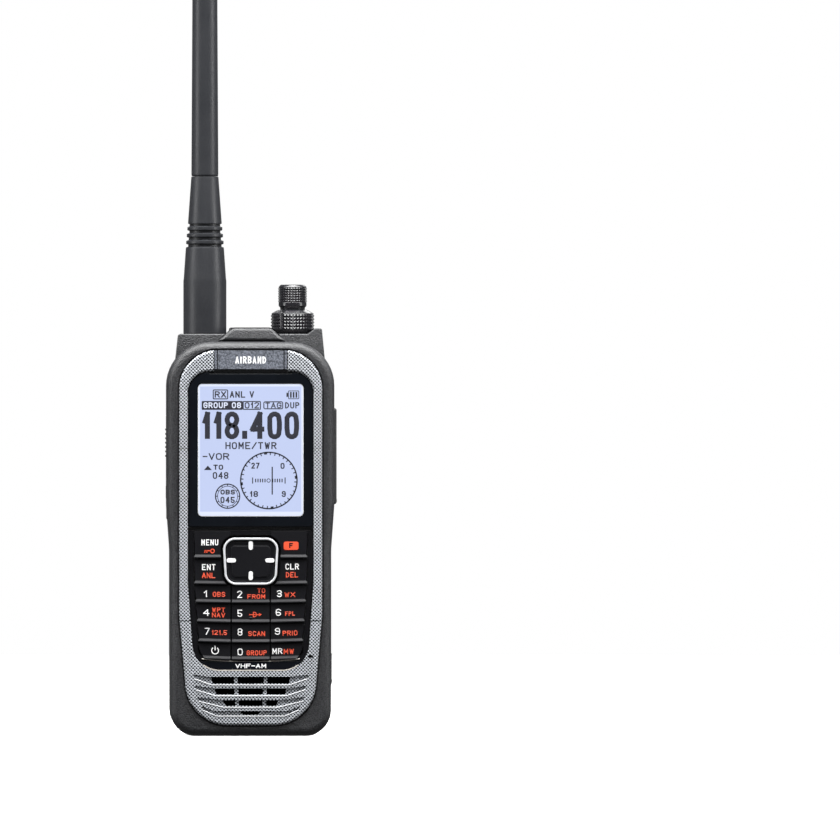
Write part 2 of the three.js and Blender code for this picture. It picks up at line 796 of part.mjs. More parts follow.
// The rubber mat: a raised border that shows round the keys, and a low boss behind each key.
function keypadMat() {
  const floor = prism(inset(keypadZone(0), -1), matFront, matBack);
  const border = prism(keypadZone(GAP), face + 0.3, matFront + 0.5).intersect(
    prism(inset(paneOutline, GAP), face - 1, matFront + 1),
  );
  const low = matFront - keypad.bossHeight;
  const pockets = eachKey((name, row, column) =>
    prism(keyOutline(row, column, SIDE_GAP), face - 1, matFront).subtract(
      prism(keyOutline(row, column, -0.8), low, matFront),
    ),
  );
  const rockerPocket = prism(inset(dpadOutline, -GAP), face - 1, matFront);
  return floor.add(border).subtract(union([...pockets, rockerPocket, microphoneRoom()]));
}

const boardOutline = () => inset(keypadZone(0), -0.5);

function keypadBoard() {
  const board = prism(boardOutline(), boardFront, boardBack);
  const plug = box(-6, boardBack - 0.3, keypad.top - 8, 6, mainFront - GAP, keypad.top - 3);
  return board.add(plug).subtract(microphoneRoom());
}

const ringBack = () => matFront - GAP;

function rockerRing() {
  const outer = prism(dpadOutline, face - dpad.ringProud, ringBack(), { front: 0.3, steps: 1 });
  return outer.subtract(prism(inset(dpadOutline, dpad.ring), face - 9, matFront));
}

const capBack = face - dpad.capProud + dpad.thickness;

function rockerCap() {
  const outline = inset(dpadOutline, dpad.ring + dpad.gap);
  return prism(outline, face - dpad.capProud, capBack, { front: 0.5, steps: 2 });
}

function rockerPlunger() {
  const y0 = capBack + GAP;
  return pin(0, dpad.z, dpad.rockerRadius, y0, y0 + dpad.rockerThickness);
}

// ---------------------------------------------------------------- inside the case

function loudspeaker() {
  const y = boardBack + 0.6;
  const { z, radius, depth, magnetRadius, coneDepth } = speaker;
  const rim = pin(0, z, radius, y, y + depth * 0.45, 28);
  const magnet = pin(0, z, magnetRadius, y + depth * 0.4, y + depth, 24);
  const cone = pin(0, z, radius - 2, y - 1, y + coneDepth, 24);
  return rim.add(magnet).subtract(cone);
}

function speakerMesh() {
  const { low, high } = grille.opening;
  const half = grilleHalf + mesh.margin;
  const outline = rectangle(-half, low - mesh.margin, half, high + mesh.margin, 1);
  return prism(outline, matFront, matFront + mesh.thickness);
}

const microphoneRoom = () => pin(microphoneX, microphone.z, microphone.radius + GAP, face, 0);

function microphoneCapsule() {
  const { z, radius, depth } = microphone;
  const can = pin(microphoneX, z, radius, matFront, matFront + depth);
  return can.subtract(pin(microphoneX, z, 0.5, matFront - 1, matFront + 0.5, 10));
}

const cavityHalf = body.lowerHalf - body.wall - GAP;

function mainBoard() {
  const half = cavityHalf - 1.5;
  const top = shoulderFoot - 1;
  const board = box(-half, mainFront, boards.foot, half, mainBack, top);
  const cans = [
    [-half + 2, top - 34, -2, top - 4],
    [2, top - 26, half - 10, top - 4],
  ].map(([x0, z0, x1, z1]) => box(x0, mainBack - 0.2, z0, x1, mainBack + boards.canHeight, z1));
  return union([board, ...cans]).subtract(jackRoom(GAP));
}

const jackInner = () => lcdHalf + lcd.frame + SIDE_GAP;
const jackRoom = (d) => {
  const { low, high } = jackBlock;
  return box(jackInner() - d, -THROUGH, low - d, THROUGH, chassisBack - chassis.plate, high + d);
};

function chassisFrame() {
  const outline = inset(bodyOutline, body.wall + GAP);
  const { plate, rib, ribWidth, foot } = chassis;
  const front = chassisBack - plate;
  const limit = above(foot).intersect(below(shoulderFoot - 2 * GAP));
  const tray = prism(outline, front - rib, chassisBack)
    .subtract(prism(inset(outline, ribWidth), front - rib - 1, front))
    .intersect(limit);
  const holes = [-1, 1].map((side) => pin(side * screwX, screw.z, screw.post + GAP, -THROUGH, front, 16));
  const shanks = [-1, 1].map((side) => pin(side * screwX, screw.z, screw.shank + GAP, -THROUGH, THROUGH, 12));
  return tray.subtract(union([...holes, ...shanks, ...sideRooms()]));
}

// Room that the chassis leaves for the boards and sockets along the side walls.
function sideRooms() {
  const { thickness, low, high } = sideBoard;
  const back = chassisBack - chassis.plate;
  return [
    box(-THROUGH, -THROUGH, low - 1, thickness + 1 - sideBoardX, back, high + 1),
    jackRoom(2 * GAP),
  ];
}

function terminalBlock() {
  const { half, z, height, blades, bladeWidth, bladeProud } = contacts;
  const back = rearBack - bladeProud;
  const block = box(-half, rearFace + 0.1, z - height / 2, half, back, z + height / 2);
  const pitch = (2 * half) / blades;
  const reach = height / 2 - 1;
  const springs = Array.from({ length: blades }, (_, i) => {
    const x = -half + pitch * (i + 0.5);
    return box(x - bladeWidth / 2, back - 0.2, z - reach, x + bladeWidth / 2, rearBack, z + reach);
  });
  return union([block, ...springs]);
}

const sideBoardX = sideAt(sideKeys[1].low) - sideButton.thickness - sideBoard.standOff + sideKey.proud;

function sideSwitchBoard() {
  const { thickness, low, high } = sideBoard;
  return box(-sideBoardX, sideKey.back, low, -sideBoardX + thickness, sideKey.front, high);
}

function headsetJacks() {
  const outer = upperHalf - body.wall - GAP / 2;
  const { low, high, hole, pitch } = jackBlock;
  const y = (jackCover.back + jackCover.front) / 2;
  const middle = (low + high) / 2;
  const block = box(jackInner(), jackCover.back + 1, low, outer, jackCover.front - 1, high);
  const holes = [-1, 1].map((side) =>
    crossPin(y, middle + (side * pitch) / 2, hole - (side > 0 ? 0.5 : 0), jackInner() + 1.5, outer + 1, 16),
  );
  return block.subtract(union(holes));
}

function chargePort() {
  const outer = body.lowerHalf - body.wall - GAP;
  const { low, high, back, front, depth, wall } = port;
  const shell = box(outer - depth, back, low, outer, front, high);
  const mouth = box(outer - depth + wall, back + wall, low + wall, outer + 1, front - wall, high - wall);
  const middle = (back + front) / 2;
  const tongue = box(outer - depth + wall / 2, middle - 0.4, low + 2, outer - 1, middle + 0.4, high - 2);
  return shell.subtract(mouth).add(tongue);
}

// ---------------------------------------------------------------- keys and covers on the sides

// A plain button or cover in a side wall: side is -1 for the left wall and 1 for the right one.
function sidePiece(piece, side, thickness, edge) {
  const outer = (sideAt((piece.low + piece.high) / 2) + piece.proud) * side;
  const shape = new THREE.Shape(
    rounded([
      { x: piece.front, z: piece.low, r: 1 },
      { x: piece.front, z: piece.high, r: 1 },
      { x: piece.back, z: piece.high, r: 1 },
      { x: piece.back, z: piece.low, r: 1 },
    ], 3),
  );
  const geometry = new THREE.ExtrudeGeometry(shape, {
    depth: thickness,
    bevelThickness: edge,
    bevelSize: edge,
    bevelOffset: -edge,
    bevelSegments: 2,
  });
  geometry.applyMatrix4(new THREE.Matrix4().set(0, 0, 1, 0, 1, 0, 0, 0, 0, 1, 0, 0, 0, 0, 0, 1));
  const made = solid(geometry);
  const placed = side > 0
    ? made.translate([outer - thickness - edge, 0, 0])
    : made.translate([outer + edge, 0, 0]);
  const inner = outer - side * thickness;
  const keep = side > 0 ? box(inner, -99, -99, THROUGH, 99, 999) : box(-THROUGH, -99, -99, inner, 99, 999);
  return placed.intersect(keep);
}

function pttKey() {
  const cap = sidePiece(ptt, -1, sideButton.thickness, sideButton.edge);
  const outer = sideAt(ptt.high) + ptt.proud;
  const foot = (i) => ptt.low + ptt.ribFoot + i * ptt.ribPitch;
  const ribs = Array.from({ length: ptt.ribs }, (_, i) =>
    box(-outer - ptt.rib, ptt.back + 1.2, foot(i), -outer + 0.4, ptt.front - 1.2, foot(i) + ptt.ribPitch / 2),
  );
  return union([cap, ...ribs]);
}

// ---------------------------------------------------------------- aerial

function aerialSocket() {
  const seat = platform;
  const under = seat - shoulder.roof - GAP;
  const top = seat + socket.height;
  const shell = turned([
    [0, under - 5],
    [2, under - 5],
    [2, under - 2],
    [socket.flange, under - 2],
    [socket.flange, under],
    [socket.thread, under],
    [socket.thread, seat + GAP],
    [socket.radius, seat + GAP],
    [socket.radius, top],
    [0, top],
  ]);
  const lugs = crossPin(0, top - 2.6, socket.lug, -socket.lugRadius, socket.lugRadius, 12);
  return shell.add(lugs).subtract(rod(socket.hole, seat + 3, top + 1, 20));
}

const plugFoot = platform + 2 * GAP;
const plugTop = plugFoot + aerial.plugHeight;

function aerialPlug() {
  const room = socket.lugRadius + GAP;
  const lid = platform + socket.height + GAP;
  const sleeve = turned([
    [room, plugFoot],
    [plugRadius, plugFoot],
    [plugRadius, plugTop],
    [0, plugTop],
    [0, lid - 3],
    [1.9, lid - 3],
    [1.9, lid],
    [room, lid],
    [room, plugFoot],
  ]);
  return sleeve;
}

const bootTop = platform + aerial.bootHeight;

function aerialBoot() {
  const foot = platform + GAP;
  const { sleeveRadius, neckRadius, topRadius, whipRadius, rings, ringPitch, ringDepth } = aerial;
  const neck = platform + aerial.neckHeight;
  const profile = [
    [plugRadius + GAP, foot],
    [sleeveRadius, foot],
    [sleeveRadius, platform + aerial.sleeveHeight],
    [neckRadius, neck],
  ];
  for (let i = 0; i < rings; i++) {
    const z = neck + i * ringPitch;
    const r = neckRadius - ((neckRadius - topRadius) * i) / rings;
    profile.push(
      [r - ringDepth, z + 0.2],
      [r - ringDepth, z + ringPitch * 0.45],
      [r, z + ringPitch * 0.55],
      [r, z + ringPitch],
    );
  }
  const flareFoot = neck + rings * ringPitch;
  profile.push(
    [topRadius - ringDepth, flareFoot + 0.2],
    [topRadius - ringDepth, flareFoot + 1],
    [topRadius, flareFoot + 1.2],
    [whipRadius, bootTop],
    [aerial.spigotRadius + GAP, bootTop],
    [aerial.spigotRadius + GAP, bootTop - aerial.spigotLength - GAP],
    [0, bootTop - aerial.spigotLength - GAP],
    [0, plugTop + GAP],
    [plugRadius + GAP, plugTop + GAP],
    [plugRadius + GAP, foot],
  );
  return turned(profile);
}

function aerialWhip() {
  const foot = bootTop + GAP;
  const tip = platform + aerial.height;
  const { whipRadius, whipTipRadius, spigotRadius, spigotLength } = aerial;
  const profile = [
    [0, foot - spigotLength],
    [spigotRadius, foot - spigotLength],
    [spigotRadius, foot],
    [whipRadius, foot],
    [whipTipRadius, tip - whipTipRadius],
  ];
  for (let i = 1; i < ARC_STEPS; i++) {
    const turn = ((Math.PI / 2) * i) / ARC_STEPS;
    profile.push([whipTipRadius * Math.cos(turn), tip - whipTipRadius + whipTipRadius * Math.sin(turn)]);
  }
  profile.push([0, tip]);
  return turned(profile);
}

// ---------------------------------------------------------------- knobs

const dialFoot = platform + GAP;
const dialTop = dialFoot + knobs.dialHeight;
const volumeFoot = dialTop + GAP;
const volumeTop = volumeFoot + knobs.volumeHeight;
const controlTop = platform - shoulder.roof - GAP;
const bushingTop = platform + knobs.bushingHeight;

function controlBody() {
  const { controlHalf: half, controlHeight, bushing, dialShaft } = knobs;
  const block = box(-half, -half, controlTop - controlHeight, half, half, controlTop);
  return block.add(tube(dialShaft + GAP, bushing, controlTop - 0.5, bushingTop));
}

function controlNut() {
  const foot = platform + GAP;
  const top = foot + knobs.nutHeight;
  return rod(knobs.nutRadius, foot, top, 6).subtract(rod(knobs.bushing + GAP, foot - 1, top + 1));
}

function dialKnob() {
  const { dialRadius, dialShoulder, dialConeHeight, dialShaft, nutRadius, nutHeight, volumeShaft } = knobs;
  const skirtRoof = Math.max(bushingTop, platform + nutHeight + GAP) + 2 * GAP;
  const knob = turned([
    [nutRadius + 2 * GAP, dialFoot],
    [dialRadius - 1, dialFoot],
    [dialRadius, dialFoot + 1],
    [dialRadius, dialTop - dialConeHeight],
    [dialShoulder, dialTop],
    [volumeShaft + 2 * GAP, dialTop],
    [volumeShaft + 2 * GAP, dialTop - 1.2],
    [dialShaft + GAP, dialTop - 1.2],
    [dialShaft + GAP, skirtRoof],
    [nutRadius + 2 * GAP, skirtRoof],
    [nutRadius + 2 * GAP, dialFoot],
  ], 36);
  const { pointerHalf, pointerProud, pointerAngle } = knobs;
  const reach = dialRadius + pointerProud;
  const pointerTop = dialTop - dialConeHeight + 0.4;
  const pointer = box(-pointerHalf, -reach, dialFoot + 1.6, pointerHalf, 0.6 - dialRadius, pointerTop);
  return knob.add(pointer.rotate([0, 0, pointerAngle]));
}

const dialShaftTube = () => {
  const { volumeShaft, dialShaft } = knobs;
  return tube(volumeShaft + GAP, dialShaft, controlTop + GAP, dialTop - 1.2 - GAP, 20);
};

function volumeKnob() {
  const { volumeRadius, volumeEdge, volumeShaft } = knobs;
  return turned([
    [volumeShaft + GAP, volumeFoot],
    [volumeRadius - 0.9, volumeFoot],
    [volumeRadius, volumeFoot + 0.9],
    [volumeRadius, volumeTop - volumeEdge],
    [volumeRadius - volumeEdge, volumeTop],
    [0, volumeTop],
    [0, volumeTop - 2],
    [volumeShaft + GAP, volumeTop - 2],
    [volumeShaft + GAP, volumeFoot],
  ]);
}

const volumeShaftRod = () => rod(knobs.volumeShaft, controlTop + GAP, volumeTop - 2 - GAP, 16);

// ---------------------------------------------------------------- battery

// The latch's own corners, or those of the room that it slides in when d is the clearance round it.
const latchRoom = (d) => {
  const { half, foot, height, depth, travel } = latch;
  const front = batteryBack - depth - d;
  const top = foot + height + (d ? travel + d : 0);
  return [-half - d, front, d ? -THROUGH : foot, half + d, d ? THROUGH : batteryBack - 0.3, top];
};

function batteryCase() {
  const back = batteryBack - battery.lid - GAP;
  const shell = prism(bodyOutline, batteryFront, back).intersect(below(batteryTop));
  const cavity = prism(inset(bodyOutline, battery.wall), batteryFront + 1.4, back + 1).intersect(
    above(battery.cellFoot - GAP).intersect(below(batteryTop - battery.wall)),
  );
  return shell.subtract(cavity).subtract(box(...latchRoom(GAP)));
}

function batteryLid() {
  const front = batteryBack - battery.lid;
  const shell = prism(bodyOutline, front, batteryBack, { back: battery.edge });
  return shell.intersect(below(batteryTop)).subtract(box(...latchRoom(GAP)));
}

function batteryCells() {
  const half = body.lowerHalf - battery.wall - 1.2;
  const y0 = batteryFront + 1.4 + GAP;
  const y1 = batteryBack - battery.lid - 2 * GAP;
  const top = batteryTop - battery.wall - GAP;
  const pair = [-1, 1].map((side) => {
    const x = [side * half, side * 0.1].sort((a, b) => a - b);
    return prism(rectangle(x[0], battery.cellFoot, x[1], top - 4, 1.5), y0, y1);
  });
  const wrap = box(-half + 3, y0 + 1, battery.cellFoot + 3, half - 3, y1 - 1, top - 1);
  return union([...pair, wrap]);
}

function batteryLatch() {
  const { half, grooves, foot, pitch, width, depth } = latchGrip;
  const cuts = Array.from({ length: grooves }, (_, i) => {
    const z = latch.foot + foot + i * pitch;
    return box(-half, batteryBack - depth, z, half, batteryBack + 1, z + width);
  });
  return box(...latchRoom(0)).subtract(union(cuts));
}

// ---------------------------------------------------------------- the whole radio

place(radio, "front_case", frontCase(), finish.caseGrain);
place(radio, "rear_case", rearCase(), finish.caseGrain);
place(radio, "top_cover", topCover(), finish.caseGrain);
place(radio, "front_frame", frontFrame(), finish.silver);
place(radio, "head_plate", headPlate(), finish.plate);
place(radio, "display_window", displayWindow(), finish.pane);
place(radio, "label_strip", labelStrip(), finish.dark);
place(radio, "case_seal", caseSeal(), finish.rubber);
place(radio, "case_screw_left", caseScrew(-1), finish.metal);
place(radio, "case_screw_right", caseScrew(1), finish.metal);

place(radio, "lcd_module", lcdModule(), finish.screen);
place(radio, "keypad_mat", keypadMat(), finish.rubber);
place(radio, "keypad_board", keypadBoard(), finish.board);
place(radio, "rocker_ring", rockerRing(), finish.bright);
place(radio, "rocker_cap", rockerCap(), finish.keyCap);
place(radio, "rocker_plunger", rockerPlunger(), finish.rubber);
eachKey((name, row, column) => place(radio, name, key(row, column), finish.keyCap));

place(radio, "main_board", mainBoard(), finish.board);
place(radio, "chassis", chassisFrame(), finish.metal);
place(radio, "speaker", loudspeaker(), finish.dark);
place(radio, "speaker_mesh", speakerMesh(), finish.rubber);
place(radio, "microphone", microphoneCapsule(), finish.metal);
place(radio, "side_switch_board", sideSwitchBoard(), finish.board);
place(radio, "headset_jacks", headsetJacks(), finish.dark);
place(radio, "charge_port", chargePort(), finish.metal);
place(radio, "terminal_block", terminalBlock(), finish.brass);

place(radio, "ptt_key", pttKey(), finish.rubber);
sideKeys.forEach((item) => {
  const made = sidePiece(item, -1, sideButton.thickness, sideButton.edge);
  place(radio, item.name, made, finish.rubber);
});
place(radio, "jack_cover", sidePiece(jackCover, 1, jackCover.thickness, jackCover.edge), finish.rubber);
place(radio, "port_cover", sidePiece(portCover, 1, portCover.thickness, portCover.edge), finish.rubber);

const aerialSeat = new THREE.Group();
aerialSeat.position.set(aerialX, blockMiddle, 0);
radio.add(aerialSeat);
place(aerialSeat, "antenna_socket", aerialSocket(), finish.metal);
place(aerialSeat, "antenna_plug", aerialPlug(), finish.metal);
place(aerialSeat, "antenna_boot", aerialBoot(), finish.rubber);
place(aerialSeat, "antenna_whip", aerialWhip(), finish.rubber);

const knobSeat = new THREE.Group();
knobSeat.position.set(knobsX, blockMiddle, 0);
radio.add(knobSeat);
place(knobSeat, "control_body", controlBody(), finish.metal);
place(knobSeat, "control_nut", controlNut(), finish.metal);
place(knobSeat, "dial_shaft", dialShaftTube(), finish.metal);
place(knobSeat, "dial_knob", dialKnob(), finish.dark);
place(knobSeat, "volume_shaft", volumeShaftRod(), finish.metal);
place(knobSeat, "volume_knob", volumeKnob(), finish.dark);

place(radio, "battery_case", batteryCase(), finish.caseGrain);
place(radio, "battery_lid", batteryLid(), finish.caseGrain);
place(radio, "battery_cells", batteryCells(), finish.cell);
place(radio, "battery_latch", batteryLatch(), finish.rubber);

export default radio;
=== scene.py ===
"""The looks of a handheld airband radio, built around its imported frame. Helpers take millimetres."""

import math

import bpy
from mathutils import Euler, Matrix, Vector


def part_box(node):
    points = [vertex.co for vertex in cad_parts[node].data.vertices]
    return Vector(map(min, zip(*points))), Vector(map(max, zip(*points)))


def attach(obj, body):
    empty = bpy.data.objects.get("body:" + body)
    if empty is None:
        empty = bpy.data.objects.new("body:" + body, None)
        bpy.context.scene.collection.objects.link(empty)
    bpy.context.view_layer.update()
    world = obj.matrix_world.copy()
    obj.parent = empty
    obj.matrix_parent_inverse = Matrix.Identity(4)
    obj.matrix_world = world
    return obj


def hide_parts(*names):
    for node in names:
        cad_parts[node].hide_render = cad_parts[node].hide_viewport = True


bl_info = {
    "name": "Airband Radio",
    "version": (1, 0, 0),
    "blender": (4, 5, 0),
    "location": "3D View > Sidebar > Radio",
    "description": "Models the visible pieces of a handheld airband radio around its frame",
    "category": "Object",
}

MM = 0.001
THROUGH = 40.0  # long enough for a cutter to pass right through
INK = 0.06  # how far printed marks stand out of what they are printed on

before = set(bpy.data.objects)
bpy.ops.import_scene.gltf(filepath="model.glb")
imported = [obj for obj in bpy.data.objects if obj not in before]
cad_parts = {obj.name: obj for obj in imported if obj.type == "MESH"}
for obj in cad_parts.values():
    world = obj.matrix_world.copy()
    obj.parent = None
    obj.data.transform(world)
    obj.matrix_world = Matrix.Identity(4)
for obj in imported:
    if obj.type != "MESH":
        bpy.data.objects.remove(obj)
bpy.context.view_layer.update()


def place(node):
    """The lowest and highest corner of a CAD node, in millimetres."""
    low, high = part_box(node)
    return low / MM, high / MM


CASE_LOW, CASE_HIGH = place("front_case")
TRIM_LOW, TRIM_HIGH = place("front_frame")
PANE_LOW, PANE_HIGH = place("display_window")
REAR_LOW, REAR_HIGH = place("rear_case")
LID_LOW, LID_HIGH = place("battery_lid")
BOOT_LOW, BOOT_HIGH = place("antenna_boot")
DIAL_LOW, DIAL_HIGH = place("dial_knob")
RING_LOW, RING_HIGH = place("rocker_ring")
CAP_LOW, CAP_HIGH = place("rocker_cap")

UPPER_HALF = CASE_HIGH.x
COLLAR_TOP = CASE_HIGH.z
FACE = CASE_LOW.y
RIM = CASE_HIGH.y
TRIM_FACE = TRIM_LOW.y
PLATFORM = BOOT_LOW.z - 0.3
SEAT = 0.05  # left under a piece that turns on the one below it
BOOT_X = (BOOT_LOW.x + BOOT_HIGH.x) / 2
AXIS_Y = (BOOT_LOW.y + BOOT_HIGH.y) / 2
KNOB_X = (place("volume_knob")[0].x + place("volume_knob")[1].x) / 2
KEY_NODES = [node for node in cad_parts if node.startswith("key_")]


# ------------------------------------------------------------------ sizes and colours


class RadioSizes(bpy.types.PropertyGroup):
    flare: bpy.props.FloatProperty(
        name="Flare", description="How much wider each side is at the top", default=1.15, min=0
    )
    edge: bpy.props.FloatProperty(
        name="Edge", description="Rounding of the case's front edge", default=3.0, min=0.5
    )
    arc_steps: bpy.props.IntProperty(
        name="Arc steps", description="Segments in a quarter circle of an outline", default=12, min=4
    )
    grain: bpy.props.FloatProperty(
        name="Grain", description="Size of the grain moulded into the case", default=0.42, min=0.05
    )
    weave: bpy.props.FloatProperty(
        name="Weave", description="Pitch of the pattern in the silver frame", default=1.25, min=0.1
    )
    volume_columns: bpy.props.IntProperty(
        name="Volume columns", description="Studs round the upper knob", default=32, min=8
    )
    dial_columns: bpy.props.IntProperty(
        name="Dial columns", description="Studs round the lower knob", default=42, min=8
    )
    stud: bpy.props.FloatProperty(
        name="Stud", description="Height of a stud of the knurling", default=0.46, min=0.05
    )


def colour_property(name, description, default):
    return bpy.props.FloatVectorProperty(
        name=name, description=description, default=default, subtype="COLOR", min=0, max=1
    )


class RadioColours(bpy.types.PropertyGroup):
    case: colour_property("Case", "Moulded case", (0.016, 0.0165, 0.0185))
    rubber: colour_property("Rubber", "Side keys and covers", (0.012, 0.012, 0.013))
    aerial: colour_property("Aerial", "Boot and whip", (0.015, 0.016, 0.019))
    silver: colour_property("Silver", "Front frame", (0.40, 0.42, 0.45))
    plate: colour_property("Plate", "Plate at the head of the frame", (0.12, 0.13, 0.155))
    pane: colour_property("Pane", "Smoked window", (0.004, 0.005, 0.007))
    field: colour_property("Field", "Lit part of the screen", (0.57, 0.65, 0.92))
    ink: colour_property("Ink", "Dark marks on the screen", (0.012, 0.013, 0.022))
    key: colour_property("Key", "Key caps", (0.0045, 0.0045, 0.006))
    white: colour_property("White", "White lettering", (0.85, 0.85, 0.85))
    orange: colour_property("Orange", "Second lettering", (0.72, 0.075, 0.026))
    floor: colour_property("Floor", "Pale floor", (0.92, 0.92, 0.92))


def sizes():
    return bpy.context.scene.radio_sizes


def colours():
    return bpy.context.scene.radio_colours


# ------------------------------------------------------------------ outlines, seen from the front


def mirrored(half):
    """Adds the left half to the right half of an outline of (x, z, radius) corners."""
    return half + [(-x, z, r) for x, z, r in reversed(half)]


def rectangle(x0, z0, x1, z1, r=0.0):
    return [(x1, z0, r), (x1, z1, r), (x0, z1, r), (x0, z0, r)]


def inset(corners, d):
    """The corners after every edge of the outline has moved inwards by d."""
    moved = []
    count = len(corners)
    for i, (x, z, r) in enumerate(corners):
        before = Vector((x - corners[i - 1][0], z - corners[i - 1][1])).normalized()
        after = Vector((corners[(i + 1) % count][0] - x, corners[(i + 1) % count][1] - z)).normalized()
        normal = Vector((-before.y - after.y, before.x + after.x))
        step = d / (1 + before.dot(after))
        turns_out = before.x * after.y - before.y * after.x > 0
        radius = max(0.2, r - d if turns_out else r + d) if r else 0.0
        moved.append((x + normal.x * step, z + normal.y * step, radius))
    return moved


def rounded(corners):
    """Points (x, z) along the outline, with each rounded corner as an arc."""
    points = []
    count = len(corners)
    for i, (x, z, r) in enumerate(corners):
        here = Vector((x, z))
        if r == 0:
            points.append(here)
            continue
        back = (Vector(corners[i - 1][:2]) - here).normalized()
        on = (Vector(corners[(i + 1) % count][:2]) - here).normalized()
        half_angle = math.acos(max(-1.0, min(1.0, back.dot(on)))) / 2
        start = here + back * (r / math.tan(half_angle))
        centre = here + (back + on).normalized() * (r / math.sin(half_angle))
        side = 1 if on.x * back.y - on.y * back.x > 0 else -1
        sweep = (math.pi - 2 * half_angle) * side
        steps = sizes().arc_steps if r >= 1 else sizes().arc_steps // 2
        pieces = max(2, math.ceil(steps * abs(sweep) / (math.pi / 2)))
        for k in range(pieces + 1):
            turn = Matrix.Rotation(sweep * k / pieces, 2)
            points.append(centre + turn @ (start - centre))
    return points


def body_outline():
    lower = UPPER_HALF - sizes().flare
    return mirrored(
        [
            (lower, CASE_LOW.z, 9.5),
            (lower, 68, 30),
            (UPPER_HALF, 84, 30),
            (UPPER_HALF, COLLAR_TOP, 16),
        ]
    )


def trim_outline():
    half = TRIM_HIGH.x
    return mirrored(
        [(half - 3.5, TRIM_LOW.z, 15.5), (half, 44, 30), (half, COLLAR_TOP - 3, 14.3)]
    )


PANE_HALF = PANE_HIGH.x + 0.3
PANE_TOP = PANE_HIGH.z + 0.3
PANE_FOOT = place("label_strip")[0].z - 0.3
KEY_TAPER_FROM = 56
KEY_TAPER = 2.3


def keys_half(z):
    """Half width inside the frame at a height: it narrows towards the foot."""
    share = max(0, KEY_TAPER_FROM - z) / (KEY_TAPER_FROM - PANE_FOOT)
    return PANE_HALF - KEY_TAPER * share


def pane_outline():
    return mirrored(
        [
            (keys_half(PANE_FOOT), PANE_FOOT, 10),
            (PANE_HALF, KEY_TAPER_FROM, 30),
            (PANE_HALF, PANE_TOP, 8),
        ]
    )


# ------------------------------------------------------------------ modelling helpers


def deselect():
    bpy.ops.object.select_all(action="DESELECT")


def take(piece):
    """Makes a piece the only selected one, and the active one."""
    deselect()
    piece.select_set(True)
    bpy.context.view_layer.objects.active = piece


def to_object():
    bpy.ops.object.mode_set(mode="OBJECT")


def edit_all(piece):
    take(piece)
    bpy.ops.object.mode_set(mode="EDIT")
    bpy.ops.mesh.select_mode(type="VERT")
    bpy.ops.mesh.select_all(action="SELECT")


def pick(piece, test):
    """Enters edit mode with the vertices selected whose place, in millimetres, passes the test."""
    edit_all(piece)
    bpy.ops.mesh.select_all(action="DESELECT")
    to_object()
    for vertex in piece.data.vertices:
        vertex.select = bool(test(vertex.co / MM))
    bpy.ops.object.mode_set(mode="EDIT")


def face_out(piece):
    edit_all(piece)
    bpy.ops.mesh.normals_make_consistent(inside=False)
    to_object()


def sheet_of(name, points, y):
    """A flat n-gon with its corners at points (x, z), at depth y."""
    deselect()
    bpy.ops.mesh.primitive_circle_add(vertices=len(points), radius=1, fill_type="NGON")
    piece = bpy.context.object
    piece.name = name
    for vertex, (x, z) in zip(piece.data.vertices, points):
        vertex.co = Vector((x, y, z)) * MM
    return piece


def prism(name, corners, y0, y1):
    """An outline carried through the depth from y0, in front, to y1."""
    piece = sheet_of(name, rounded(corners), y1)
    edit_all(piece)
    bpy.ops.mesh.extrude_region_move(TRANSFORM_OT_translate={"value": (0, (y0 - y1) * MM, 0)})
    to_object()
    face_out(piece)
    return piece


def band(name, corners, width, y0, y1):
    """A ring of even width inside an outline, from y0 to y1."""
    piece = sheet_of(name, rounded(corners), y1)
    edit_all(piece)
    bpy.ops.mesh.inset(thickness=width * MM, depth=0, use_even_offset=True)
    bpy.ops.mesh.delete(type="FACE")
    bpy.ops.mesh.select_all(action="SELECT")
    bpy.ops.mesh.extrude_region_move(TRANSFORM_OT_translate={"value": (0, (y0 - y1) * MM, 0)})
    to_object()
    face_out(piece)
    return piece


def block(name, low, high):
    """A box between two corners."""
    deselect()
    centre = (Vector(low) + Vector(high)) / 2 * MM
    bpy.ops.mesh.primitive_cube_add(size=1, location=centre)
    piece = bpy.context.object
    piece.name = name
    piece.scale = (Vector(high) - Vector(low)) * MM
    settle(piece)
    return piece


def settle(piece):
    """Puts a piece's place, turn and scale into its mesh."""
    take(piece)
    bpy.ops.object.transform_apply(location=True, rotation=True, scale=True)


def bar(name, centre, radius, length, axis, sides=24):
    """A round bar along an axis, X, Y or Z, from its centre."""
    deselect()
    turn = {"X": (0, math.pi / 2, 0), "Y": (math.pi / 2, 0, 0), "Z": (0, 0, 0)}[axis]
    bpy.ops.mesh.primitive_cylinder_add(
        vertices=sides,
        radius=radius * MM,
        depth=length * MM,
        location=Vector(centre) * MM,
        rotation=turn,
    )
    piece = bpy.context.object
    piece.name = name
    settle(piece)
    return piece


def lathe(name, centre, stations, sides):
    """A turned piece: a disc carried up and resized from station to station, each (radius, z)."""
    deselect()
    radius, height = stations[0]
    bpy.ops.mesh.primitive_circle_add(
        vertices=sides,
        radius=radius * MM,
        location=(centre[0] * MM, centre[1] * MM, height * MM),
        fill_type="NGON",
    )
    piece = bpy.context.object
    piece.name = name
    settle(piece)
    edit_all(piece)
    for next_radius, next_height in stations[1:]:
        rise = (next_height - height) * MM
        bpy.ops.mesh.extrude_region_move(TRANSFORM_OT_translate={"value": (0, 0, rise)})
        share = next_radius / radius
        bpy.ops.transform.resize(value=(share, share, 1))
        radius, height = next_radius, next_height
    to_object()
    face_out(piece)
    return piece


def round_edge(piece, test, width, segments=4):
    """Bevels the edges between the vertices that pass the test."""
    pick(piece, test)
    bpy.ops.mesh.bevel(offset=width * MM, segments=segments, affect="EDGES", clamp_overlap=True)
    to_object()


